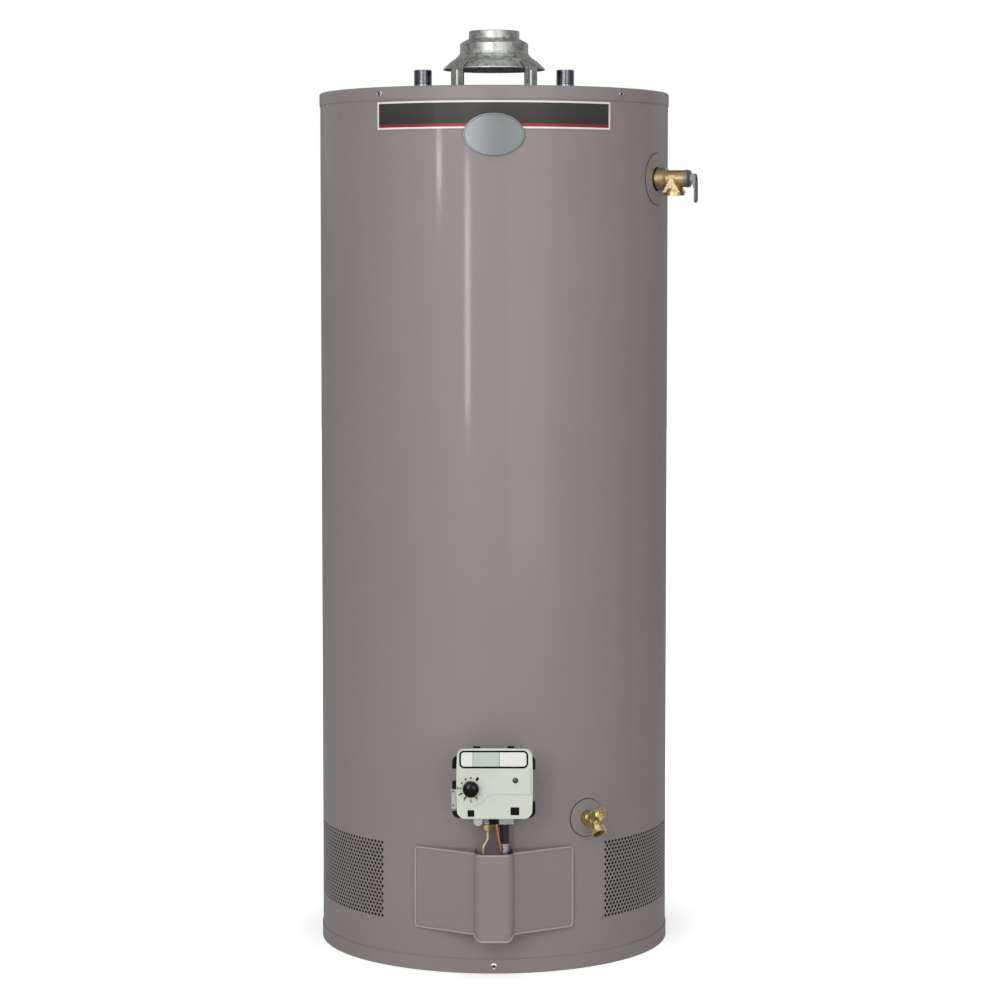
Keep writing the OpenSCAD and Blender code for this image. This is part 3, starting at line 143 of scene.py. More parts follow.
class Finish:
    """A Principled material in one colour, and the patterns that feed its sockets."""

    def __init__(self, name, colour, **sockets):
        self.material = bpy.data.materials.new(name)
        self.material.use_nodes = True
        self.material.diffuse_color = (*colour, 1)
        self.colour, self.tree = colour, self.material.node_tree
        self.shader = self.tree.nodes["Principled BSDF"]
        for key, value in {"Base Color": (*colour, 1), **sockets}.items():
            self.shader.inputs[key.replace("_", " ")].default_value = value

    def feed(self, value, key):
        self.tree.links.new(value, self.shader.inputs[key])

    def noise(self, size, detail=2.0, roughness=0.5, stretch=(1, 1, 1), place=None):
        """Noise whose blotches are about size metres across."""
        return add(self.tree, "TexNoise", {
            "Vector": place or place_in(self.tree, stretch), "Scale": 1 / size,
            "Detail": detail, "Roughness": roughness}).outputs["Fac"]

    def mix(self, factor, first, second):
        self.feed(blend(self.tree, factor, first, second), "Base Color")

    def tint(self, pattern, dark, light, least=0.3, most=0.7):
        """Colours the base from a darker to a lighter shade, by a pattern."""
        self.mix(span(self.tree, pattern, 0, 1, least, most), shade(self.colour, dark), shade(self.colour, light))

    def rough(self, pattern, low, high, least=0.3, most=0.7):
        self.feed(span(self.tree, pattern, low, high, least, most), "Roughness")

    def relief(self, height, depth, strength):
        """Bump of depth metres from a height of 0 to 1."""
        bump = add(self.tree, "Bump", {"Height": height, "Distance": depth, "Strength": strength})
        self.feed(bump.outputs["Normal"], "Normal")


# ---------- Materials ----------


def baked_enamel(colour, name="Baked enamel", skin=0.2):
    """Baked enamel on sheet steel, sprayed: a satin body under a thin glossy skin with faint orange peel."""
    made = Finish(name, colour, Roughness=0.5, Specular_IOR_Level=0.3, Coat_Weight=skin, Coat_Roughness=0.1, IOR=1.5)
    made.tint(made.noise(180 * mm, 3), 0.975, 1.025)
    # Real orange peel has waves of about 2 mm; drawn 5 mm wide so that it shows.
    made.relief(made.noise(5 * mm, 1), 0.02 * mm, 0.35)
    return made.material


def plated_zinc(colour, name="Bright zinc plate", glossy=0.2, dull=0.42):
    """Electroplated zinc: bright metal with a faint uneven passivation bloom."""
    made = Finish(name, colour, Metallic=1.0, Roughness=0.28)
    bloom = made.noise(4 * mm, 3)
    made.rough(bloom, glossy, dull)
    made.tint(bloom, 0.88, 1)
    return made.material


def galvanised_sheet(colour):
    """Hot-dip galvanised sheet: flat zinc crystals, each a little lighter or duller than the next."""
    made = Finish("Hot-dip galvanised sheet", colour, Metallic=1.0, Roughness=0.42)
    place = place_in(made.tree)
    # Spangle crystals of thin sheet are 3 to 5 mm across.
    crystal = add(made.tree, "TexVoronoi", {"Vector": place, "Scale": 1 / (4 * mm), "Randomness": 1.0})
    tone = add(made.tree, "SeparateColor", {"Color": crystal.outputs["Color"]}).outputs["Red"]
    mixed = reckon(made.tree, "ADD", tone, made.noise(1.6 * mm, 3, place=place))
    made.tint(mixed, 0.62, 1.12, 0.4, 1.6)
    made.rough(mixed, 0.3, 0.55, 0.4, 1.6)
    made.relief(mixed, 0.05 * mm, 0.35)
    return made.material


def cast_brass(colour, name="Cast brass", grit=0.8 * mm, roughness=0.3):
    """Sand-cast brass, tumbled: warm metal with a fine grainy skin and darker patches."""
    made = Finish(name, colour, Metallic=1.0, Roughness=roughness)
    patches = made.noise(9 * mm)
    made.tint(patches, 0.72, 1.08)
    made.rough(patches, roughness + 0.1, roughness - 0.06)
    # Casting sand is about 0.2 mm; drawn coarser so that it shows.
    made.relief(made.noise(grit, 4, 0.6), 0.06 * mm, 0.5)
    return made.material


def die_cast_alloy(colour):
    """Pressure die-cast aluminium: dull grey with a fine leaden skin and flow marks."""
    made = Finish("Die-cast aluminium", colour, Metallic=1.0, Roughness=0.5)
    flow = made.noise(14 * mm, 3, stretch=(1, 1, 0.35))
    made.tint(flow, 0.8, 1)
    made.rough(flow, 0.42, 0.6)
    made.relief(made.noise(1.2 * mm, 3), 0.04 * mm, 0.5)
    return made.material


def bare_steel(colour, name="Bare drawn steel", roughness=0.34):
    """Cold-drawn steel: long fine draw lines up and down the piece and a thin grey oxide."""
    made = Finish(name, colour, Metallic=1.0, Roughness=roughness)
    lines = made.noise(0.7 * mm, stretch=(1, 1, 0.06))
    made.tint(made.noise(12 * mm, 3), 0.82, 1)
    made.rough(lines, roughness - 0.06, roughness + 0.12)
    made.relief(lines, 0.02 * mm, 0.4)
    return made.material


def tank_plate(colour):
    """Hot-rolled boiler plate: blue-black mill scale with rusty bloom, rough to the touch."""
    made = Finish("Hot-rolled tank plate", colour, Metallic=0.6, Roughness=0.62)
    scale = span(made.tree, made.noise(26 * mm, 5, 0.6), 0, 1, 0.42, 0.66)
    made.mix(scale, shade(colour, 0.8), linear("6b4a35"))
    made.relief(made.noise(2.5 * mm, 4), 0.08 * mm, 0.6)
    return made.material


def rigid_foam(colour):
    """Sprayed polyurethane foam: matt straw-yellow cells with darker soft patches."""
    made = Finish("Polyurethane foam", colour, Roughness=0.95)
    cells = add(made.tree, "TexVoronoi", {"Vector": place_in(made.tree), "Scale": 1 / (1.4 * mm)}).outputs["Distance"]
    made.tint(made.noise(40 * mm, 3), 0.78, 1)
    made.relief(cells, 0.4 * mm, 0.7)
    return made.material


def moulded_plastic(name, colour, roughness, coat=0.0, gleam=0.5):
    """Injection-moulded thermoplastic: one even colour with the mould's fine spark-eroded grain."""
    made = Finish(name, colour, Roughness=roughness, IOR=1.52, Specular_IOR_Level=gleam,
                  Coat_Weight=coat, Coat_Roughness=0.08)
    grain = made.noise(0.9 * mm, 3)
    made.tint(made.noise(30 * mm), 0.965, 1.02)
    made.rough(grain, roughness - 0.05, roughness + 0.07)
    made.relief(grain, 0.02 * mm, 0.5)
    return made.material


def coated_gas_tube(colour):
    """Gas tube in dark epoxy: deep brown-black gloss that carries sharp long highlights."""
    made = Finish("Epoxy-coated gas tube", colour, Roughness=0.26, Specular_IOR_Level=0.3, IOR=1.5,
                  Coat_Weight=0.4, Coat_Roughness=0.05)
    made.tint(made.noise(7 * mm, stretch=(1, 1, 0.2)), 0.6, 1.5)
    return made.material


def woven_fibre(colour):
    """Pressed ceramic-fibre gasket: chalky felt with short crossing fibres."""
    made = Finish("Ceramic-fibre gasket", colour, Roughness=0.96, Sheen_Weight=0.2)
    fibres = made.noise(1.0 * mm, 4, 0.7, stretch=(1, 1, 4))
    made.tint(fibres, 0.8, 1)
    made.relief(fibres, 0.15 * mm, 0.7)
    return made.material


def braided_sleeve(colour):
    """Braided glass sleeve on the spark lead: two crossing sets of fine amber ribs."""
    made = Finish("Braided sleeve", colour, Roughness=0.7)
    place = place_in(made.tree)
    ribs = [add(made.tree, "TexWave", {
        "Vector": add(made.tree, "Mapping", {"Vector": place, "Rotation": (0, lean, 0)}).outputs["Vector"],
        "Scale": 1 / (1.5 * mm * math.pi)}, bands_direction="Z").outputs["Fac"] for lean in (0.8, -0.8)]
    braid = reckon(made.tree, "MAXIMUM", *ribs)
    made.mix(braid, shade(colour, 0.55), colour)
    made.relief(braid, 0.2 * mm, 0.8)
    return made.material


def thick_glass(colour):
    """Soda-lime sight glass: clear with a faint cold tint."""
    made = Finish("Soda-lime glass", colour, Roughness=0.03, Transmission_Weight=0.9, IOR=1.52)
    made.rough(made.noise(6 * mm), 0.02, 0.08)
    return made.material


def printed_film(colour, rule_colour):
    """Printed polyester film on the control's front: three blank panels, the middle one greyish green,
    parted by thin dark rules, under a satin overlay."""
    made = Finish("Printed polyester film", colour, Roughness=0.32, Coat_Weight=0.3, Coat_Roughness=0.15)
    low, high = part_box("control_label")
    rules = [low.x + (high.x - low.x) * share for share in (0.19, 0.585)]
    across = add(made.tree, "SeparateXYZ", {"Vector": place_in(made.tree)}).outputs["X"]
    inside = [reckon(made.tree, way, across, x) for x, way in zip(rules, ("GREATER_THAN", "LESS_THAN"))]
    paper = blend(made.tree, reckon(made.tree, "MULTIPLY", *inside), colour, linear("c3cfc6"))
    for x in rules:
        paper = blend(made.tree, reckon(made.tree, "COMPARE", across, x, 0.3 * mm), paper, rule_colour)
    made.feed(paper, "Base Color")
    made.relief(made.noise(1.2 * mm), 0.01 * mm, 0.3)
    return made.material


def smoked_lens(colour):
    """Smoked polycarbonate over the status light: dark, glossy, slightly see-through."""
    made = Finish("Smoked polycarbonate", colour, Roughness=0.08, IOR=1.58, Transmission_Weight=0.35,
                  Coat_Weight=0.5, Coat_Roughness=0.03)
    made.rough(made.noise(3 * mm), 0.05, 0.14)
    return made.material


def vulcanised_rubber(colour):
    """Black rubber: matt with a dusty bloom."""
    made = Finish("Vulcanised rubber as painted shadow", colour, Roughness=0.75, IOR=1.52)
    bloom = made.noise(3 * mm, 4)
    made.tint(bloom, 1, 2.0)
    made.relief(bloom, 0.03 * mm, 0.5)
    return made.material


def brushed_badge(colour):
    """Brushed anodised aluminium: fine level scratches that spread the highlight."""
    made = Finish("Brushed anodised aluminium", colour, Metallic=1.0, Roughness=0.36)
    # Brush lines are 0.1 mm; drawn wider so that they show.
    lines = made.noise(0.9 * mm, 3, stretch=(0.06, 0.06, 1))
    made.tint(lines, 0.86, 1.06)
    made.rough(lines, 0.28, 0.46)
    return made.material


def wire_cloth(colour):
    """Fine black wire cloth, near-black as painted shade behind the intake holes: two crossing sets of dull wires with
    dark gaps.
    """
    made = Finish("Black wire cloth as painted shade", colour, Roughness=0.85, Specular_IOR_Level=0.2)
    place = place_in(made.tree)
    wires = [add(made.tree, "TexWave", {"Vector": place, "Scale": 1 / (1.2 * mm * math.pi)},
                 bands_direction=way).outputs["Fac"] for way in ("Z", "DIAGONAL")]
    cloth = reckon(made.tree, "MAXIMUM", *wires)
    made.mix(cloth, shade(colour, 0.3), colour)
    made.relief(cloth, 0.2 * mm, 0.6)
    return made.material


def printed_plate(colour):
    """Screen-printed nameplate: dark warm grey that lightens towards its upper edge."""
    made = Finish("Screen-printed plate", colour, Roughness=0.5, Specular_IOR_Level=0.3,
                  Coat_Weight=0.08, Coat_Roughness=0.2)
    low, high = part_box("nameplate")
    up = add(made.tree, "SeparateXYZ", {"Vector": place_in(made.tree)}).outputs["Z"]
    made.tint(up, 0.72, 1.25, low.z, high.z)
    made.relief(made.noise(1.5 * mm), 0.01 * mm, 0.3)
    return made.material


def magnesium(colour):
    """Extruded magnesium anode: chalky grey with a light pitted oxide."""
    made = Finish("Magnesium anode", colour, Metallic=0.8, Roughness=0.55)
    pits = made.noise(3 * mm, 5, 0.65)
    made.tint(pits, 0.7, 1)
    made.relief(pits, 0.15 * mm, 0.6)
    return made.material


def thread_sealant_paste(colour):
    """Pipe-thread sealant: set green-tinted paste with a lumpy skin."""
    made = Finish("Thread sealant", colour, Roughness=0.45)
    lumps = made.noise(2 * mm, 4)
    made.tint(lumps, 0.6, 1)
    made.relief(lumps, 0.3 * mm, 0.8)
    return made.material


# ---------- Modelling helpers ----------


def deselect():
    if bpy.context.object and bpy.context.object.mode != "OBJECT":
        bpy.ops.object.mode_set(mode="OBJECT")
    bpy.ops.object.select_all(action="DESELECT")


def pick_object(piece):
    deselect()
    bpy.context.view_layer.objects.active = piece
    piece.select_set(True)


def settle(piece):
    """Moves the selected piece's place, turn and size into its mesh."""
    bpy.ops.object.transform_apply(location=True, rotation=True, scale=True)
    return piece


def start(kind, name, scale=(1, 1, 1), **settings):
    """Adds one primitive with nothing else selected, names it and settles its place and size."""
    deselect()
    getattr(bpy.ops.mesh, f"primitive_{kind}_add")(**settings)
    piece = bpy.context.active_object
    piece.name = piece.data.name = name
    piece.scale = scale
    return settle(piece)


class editing:
    """Edit mode on one piece, for the length of a with block."""

    def __init__(self, piece):
        self.piece = piece

    def __enter__(self):
        pick_object(self.piece)
        bpy.ops.object.mode_set(mode="EDIT")

    def __exit__(self, *problem):
        bpy.ops.object.mode_set(mode="OBJECT")


def pick_all(kind=None):
    """In edit mode, selects everything, as vertices, edges or faces where kind says so."""
    if kind:
        bpy.ops.mesh.select_mode(type=kind)
    bpy.ops.mesh.select_all(action="SELECT")


def pick(piece, kind, test):
    """In edit mode, selects the faces or edges that pass the test, and nothing else."""
    bpy.ops.mesh.select_mode(type=kind)
    bpy.ops.mesh.select_all(action="DESELECT")
    shape = bmesh.from_edit_mesh(piece.data)
    for element in shape.faces if kind == "FACE" else shape.edges:
        if test(element):
            element.select_set(True)
    bmesh.update_edit_mesh(piece.data)


def pick_top(piece):
    pick(piece, "FACE", lambda face: face.normal.z > 0.9)


def sink(inset, depth):
    """In edit mode, insets the selected faces and moves the inner ones down by depth."""
    bpy.ops.mesh.inset(thickness=inset)
    bpy.ops.transform.translate(value=(0, 0, -depth))


def drop_of(edge):
    """The height between an edge's two ends."""
    return abs(edge.verts[0].co.z - edge.verts[1].co.z)


def face_out():
    """In edit mode, turns every face outwards."""
    pick_all()
    bpy.ops.mesh.normals_make_consistent(inside=False)


def slice_off(point, normal, below, fill=True):
    """In edit mode, cuts off what lies below the plane, against its normal, or else what lies above it."""
    pick_all()
    bpy.ops.mesh.bisect(plane_co=point, plane_no=normal, use_fill=fill, threshold=0.0001 * mm,
                        clear_inner=below, clear_outer=not below)


def slice_ends(low, high):
    """In edit mode, cuts the shape off level at both heights."""
    for height, below in ((low, True), (high, False)):
        slice_off((0, 0, height), (0, 0, 1), below)


def profile(*points, out=0, up=0):
    """Rings for turned(): radii and heights in millimetres, counted from out and up."""
    return [[out + radius * mm, up + height * mm] for radius, height in points]


def turned(name, rings, sides=64):
    """A turned solid about Z: a disc drawn up and sized ring by ring, from the lowest [radius, height] on."""
    radius, height = rings[0]
    piece = start("circle", name, vertices=sides, radius=radius, fill_type="NGON", location=(0, 0, height))
    with editing(piece):
        pick_all()
        for next_radius, next_height in rings[1:]:
            bpy.ops.mesh.extrude_region_move(TRANSFORM_OT_translate={"value": (0, 0, next_height - height)})
            if abs(next_radius - radius) > 1e-7:
                factor = next_radius / radius
                bpy.ops.transform.resize(value=(factor, factor, 1), center_override=(0, 0, next_height))
            radius, height = next_radius, next_height
        face_out()
    return piece


def rod(name, radius, low, high, sides=64):
    """A plain round rod on Z between two heights."""
    return turned(name, [[radius, low], [radius, high]], sides)


def apply(piece, kind, **settings):
    """Adds a modifier with its settings and applies it."""
    pick_object(piece)
    modifier = piece.modifiers.new(kind.title(), kind)
    for name, value in settings.items():
        setattr(modifier, name, value)
    bpy.ops.object.modifier_apply(modifier=modifier.name)
    return piece


def soften(piece, width, segments=2, **settings):
    """Bevels the sharp edges."""
    return apply(piece, "BEVEL", width=width, segments=segments, limit_method="ANGLE", **settings)


def repeat(piece, count, *step):
    return apply(piece, "ARRAY", count=count, use_relative_offset=False, use_constant_offset=True,
                 constant_offset_displace=step)


def cut(piece, tool, operation="DIFFERENCE"):
    """Cuts the tool from the piece, or keeps what they share, and removes the tool."""
    apply(piece, "BOOLEAN", object=tool, operation=operation, solver="EXACT")
    bpy.data.objects.remove(tool)
    return piece


def shift(*by):
    return Matrix.Translation(by)


def turn(degrees, axis):
    return Matrix.Rotation(math.radians(degrees), 4, axis)


def put(piece, place):
    """Moves the shape into its place, and leaves the object at the origin."""
    pick_object(piece)
    piece.matrix_world = place @ piece.matrix_world
    return settle(piece)


def twin(piece):
    """A copy with its own mesh."""
    copied = piece.copy()
    copied.data = piece.data.copy()
    bpy.context.scene.collection.objects.link(copied)
    return copied


def join(parts, name):
    deselect()
    for part in parts:
        part.select_set(True)
    bpy.context.view_layer.objects.active = parts[0]
    if len(parts) > 1:
        bpy.ops.object.join()
    whole = bpy.context.active_object
    whole.name = whole.data.name = name
    return whole


def copies(piece, places, name):
    """The piece copied to each place, joined as one object. The first is used up."""
    made = [put(twin(piece), place) for place in places]
    bpy.data.objects.remove(piece)
    return join(made, name)


def bored(parts, name, rings, sides=32):
    """The parts joined, each with the same turned bore."""
    return join([cut(part, turned("Bore", rings, sides)) for part in parts], name)


def finish_piece(piece, slot, body=ROOT, stands_for=(), smooth=35, material=None):
    """Shades the piece, gives it its finish and says what it rides on and stands for."""
    pick_object(piece)
    bpy.ops.object.shade_smooth_by_angle(angle=math.radians(smooth))
    piece.data.materials.clear()
    piece.data.materials.append(FINISH[material or slot])
    if stands_for:
        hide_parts(*stands_for)
    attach(piece, body)


def middle(node):
    low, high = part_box(node)
    return (low + high) / 2


def azimuth_of(node):
    """Degrees from the front to the node's middle, counted to the right."""
    centre = middle(node)
    return math.degrees(math.atan2(centre.x, -centre.y))


def outward(azimuth, radius, height):
    """A place on the jacket whose Z points out of it and whose Y points up."""
    return turn(azimuth, "Z") @ shift(0, -radius, height) @ turn(90, "X")


def facing_front(x, face, z):
    """A place on a surface that faces the front: Z points out of it and Y points up."""
    return shift(x, face, z) @ turn(90, "X")


def wrap(piece, radius):
    """Bends a flat piece, drawn across X and Z and facing -Y, round the heater at that radius."""
    xs = [v.co.x for v in piece.data.vertices]
    apply(piece, "SIMPLE_DEFORM", deform_method="BEND", deform_axis="Z", angle=(max(xs) - min(xs)) / radius)
    return put(piece, shift(0, -radius, 0))


def flat_grid(name, length, height):
    """A flat sheet, cut into short lengths so that it bends evenly."""
    return start("grid", name, (length, height, 1), x_subdivisions=96, y_subdivisions=2, size=1)


def flat_strip(name, length, height, thick):
    """A flat strip across X and Z facing -Y."""
    piece = apply(flat_grid(name, length, height), "SOLIDIFY", thickness=thick, offset=1)
    return put(piece, turn(90, "X"))


def round_upright_edges(piece, radius, segments, test):
    with editing(piece):
        pick(piece, "EDGE", test)
        bpy.ops.mesh.bevel(offset=radius, segments=segments, affect="EDGES")
    return piece


def rounded_plate(name, width, height, corner, thick):
    """A flat plate with round corners in the X and Y plane, from z = 0 up."""
    piece = start("cube", name, (width, height, thick), size=1, location=(0, 0, thick / 2))
    return round_upright_edges(piece, corner, 8, lambda edge: drop_of(edge) > thick / 2)


def rounded_frame(name, width, height, corner, wide, thick):
    """A rounded plate whose middle is taken out, leaving a frame of one width."""
    tool = rounded_plate("Window", width - 2 * wide, height - 2 * wide, corner - wide, 3 * thick)
    return cut(rounded_plate(name, width, height, corner, thick), put(tool, shift(0, 0, -thick)))


# ---------- Sizes and colours that a user may change ----------


def length_of(label, text, default, least, most):
    """A length that a user may change, given in millimetres."""
    return FloatProperty(name=label, description=text, default=default * mm, min=least * mm, max=most * mm,
                         unit="LENGTH")


def colour_of(label, text, hex_colour):
    return FloatVectorProperty(name=label, description=text, default=linear(hex_colour), size=3, min=0, max=1,
                               subtype="COLOR")


class HeaterSizes(bpy.types.PropertyGroup):
    """Sizes of the small fittings."""
    hole: length_of("Intake hole", "Diameter of the jacket's intake holes", 4.4, 2, 4.6)
    screw_hex: length_of("Screw hexagon", "Width across the flats of the sheet-metal screws' heads", 5.0, 3, 7)
    pipe_pitch: length_of("Pipe thread pitch", "Pitch of the tapered thread on the water nipples", 1.814, 1, 3)
    pipe_thread: length_of("Pipe thread depth", "Depth of that thread", 1.0, 0.4, 1.5)
    hose_pitch: length_of("Hose thread pitch", "Pitch of the drain valve's hose thread", 2.2, 1.5, 3)
    knob_flutes: IntProperty(name="Knob flutes", description="Number of grip flutes round the temperature dial",
                             default=24, min=12, max=48)
    border: length_of("Nameplate border", "Width of the nameplate's silver border", 2.6, 0.8, 4)
    stripe: length_of("Nameplate stripe", "Height of the red stripe along the nameplate's lower edge", 4.2, 2, 8)


class HeaterColours(bpy.types.PropertyGroup):
    """Colours of the finishes."""
    enamel: colour_of("Jacket enamel", "Baked enamel on the jacket, cap, pan and door", "908887")
    cover: colour_of("Control cover", "Moulded cover of the gas control", "d8dccf")
    black: colour_of("Black plastic", "Frame, plugs and knob", "0b0b0c")
    brass: colour_of("Brass", "Drain valve and pilot nut", "e2d59c")
    bronze: colour_of("Valve brass", "Cast body of the relief valve", "c9b088")
    zinc: colour_of("Zinc plate", "Screws and nuts", "c3c6c9")
    galvanised: colour_of("Galvanised sheet", "Draft hood and its legs", "bdbfbc")
    stripe: colour_of("Nameplate stripe", "Stripe along the nameplate's lower edge", "8e1420")
    plate: colour_of("Nameplate", "Field of the nameplate", "36342f")
    tube: colour_of("Gas tube", "Coating of the burner's supply tube", "15110f")


class HeaterStudio(bpy.types.PropertyGroup):
    """Camera and light."""
    distance: FloatProperty(name="Camera distance", description="From the heater's axis to the camera",
                            default=4.207, min=1, max=20, unit="LENGTH")
    eye: FloatProperty(name="Camera height", description="Height of the camera over the floor",
                       default=1.002, min=0, max=5, unit="LENGTH")
    side: FloatProperty(name="Camera to the right", description="How far the camera stands to the right of the axis",
                        default=0.0085, min=-1, max=1, unit="LENGTH")
    pitch: FloatProperty(name="Camera pitch", description="How far the camera looks down",
                         default=math.radians(3.957), min=-0.5, max=1, subtype="ANGLE")
    lens: FloatProperty(name="Lens", description="Focal length on a 36 mm sensor, in millimetres",
                        default=104.15, min=20, max=300)
    fill: FloatProperty(name="Surrounding light", description="Strength of the even light from all round",
                        default=0.3, min=0, max=3)
    dim: FloatProperty(name="Dark side", description="How bright the studio looks in reflections of its sides and back",
                       default=0.3, min=0, max=2)


def sizes():
    return bpy.context.scene.heater_sizes


def colours():
    return bpy.context.scene.heater_colours


def studio():
    return bpy.context.scene.heater_studio


class HeaterOperator(bpy.types.Operator):
    """Shared settings of the heater's operators."""
    bl_options = {"REGISTER", "UNDO"}

    def execute(self, context):
        self.make()
        return {"FINISHED"}


# ---------- Camera and studio ----------


class HEATER_OT_camera(HeaterOperator):
    """Puts the camera in front of the heater, a little above its middle"""
    bl_idname = "heater.camera"
    bl_label = "Camera"
    sensor_width, shift_up, nearest, farthest = 36, -0.05, 0.05, 60

    def make(self):
        s = studio()
        data = bpy.data.cameras.new("Camera")
        camera = bpy.data.objects.new("Camera", data)
        bpy.context.scene.collection.objects.link(camera)
        data.sensor_width, data.lens, data.shift_y = self.sensor_width, s.lens, self.shift_up
        data.clip_start, data.clip_end = self.nearest, self.farthest
        camera.location = (s.side, -s.distance, s.eye)
        camera.rotation_euler = (math.radians(90) - s.pitch, 0, 0)
        bpy.context.scene.camera = camera


# Name, place, aim, width, height in metres, and power in watts.
LAMPS = [
    ("Key", (-1.3, -3.9, 2.4), (0, 0, 0.75), 2.2, 2.2, 53),
    ("Fill", (1.6, -3.8, 1.2), (0, 0, 0.6), 2.0, 2.2, 27),
    ("Top", (0.2, -0.9, 3.6), (0, 0, 0.6), 2.2, 2.2, 14),
    ("Back left", (-2.4, 2.6, 2.2), (0, 0, 0.7), 1.8, 2.2, 5),
    ("Back right", (2.4, 2.6, 2.2), (0, 0, 0.7), 1.8, 2.2, 5),
    ("Strip high", (-2.0, -2.9, 1.22), (0, 0, 1.1), 0.18, 0.16, 3.6),
    ("Strip low", (-1.05, -3.55, 0.9), (0, 0, 0.95), 0.18, 0.66, 11.0),
]


class HEATER_OT_studio(HeaterOperator):
    """Lays a pale floor and lights the heater with soft lamps and an even surrounding"""
    bl_idname = "heater.studio"
    bl_label = "Floor and light"

    def make(self):
        scene = bpy.context.scene
        scene.view_settings.view_transform = "Standard"
        self.world(scene)
        self.floor()
        for name, place, aim, width, height, power in LAMPS:
            light = bpy.data.lights.new(name, "AREA")
            light.shape, light.size, light.size_y, light.energy = "RECTANGLE", width, height, power
            lamp = bpy.data.objects.new(name, light)
            scene.collection.objects.link(lamp)
            lamp.location = place
            lamp.rotation_euler = (Vector(aim) - Vector(place)).to_track_quat("-Z", "Y").to_euler()

    def world(self, scene):
        world = bpy.data.worlds.new("Studio")
        scene.world = world
        world.use_nodes = True
        tree = world.node_tree
        tree.nodes.clear()
        rays = add(tree, "LightPath").outputs
        seen = reckon(tree, "MAXIMUM", rays["Is Camera Ray"], rays["Is Transmission Ray"])
        # A reflection sees a studio that is bright behind the camera and dim beside and behind the heater.
        ahead = add(tree, "SeparateXYZ", {"Vector": add(tree, "TexCoord").outputs["Generated"]}).outputs["Y"]
        mirrored = span(tree, ahead, 1.0, studio().dim, -0.95, -0.1)
        strength = span(tree, rays["Is Glossy Ray"], studio().fill, mirrored, 0, 1)
        strength = span(tree, seen, strength, 1.0, 0, 1)
        light = add(tree, "Background", {"Color": (1, 1, 1, 1), "Strength": strength}).outputs[0]
        add(tree, "OutputWorld", {"Surface": light})

    def floor(self):
        floor = start("plane", "Studio_floor", size=24)
        material = bpy.data.materials.new("Pale studio floor")
        material.use_nodes = True
        tree = material.node_tree
        tree.nodes.clear()
        # Seen by the camera, the floor adds light of its own, full white away from the heater, so that
        # it meets the white background, and little beside it, where its shadow stays.
        away = add(tree, "VectorMath", {0: place_in(tree)}, operation="LENGTH").outputs["Value"]
        reach = span(tree, away, 0.55, 1.1, 0.27, 0.6)
        strength = reckon(tree, "MULTIPLY", reach, add(tree, "LightPath").outputs["Is Camera Ray"])
        glow = add(tree, "Emission", {"Color": (1, 1, 1, 1), "Strength": strength})
        plain = add(tree, "BsdfDiffuse", {"Color": (0.86, 0.86, 0.86, 1)})
        both = add(tree, "AddShader", {0: glow.outputs[0], 1: plain.outputs[0]})
        add(tree, "OutputMaterial", {"Surface": both.outputs[0]})
        floor.data.materials.append(material)


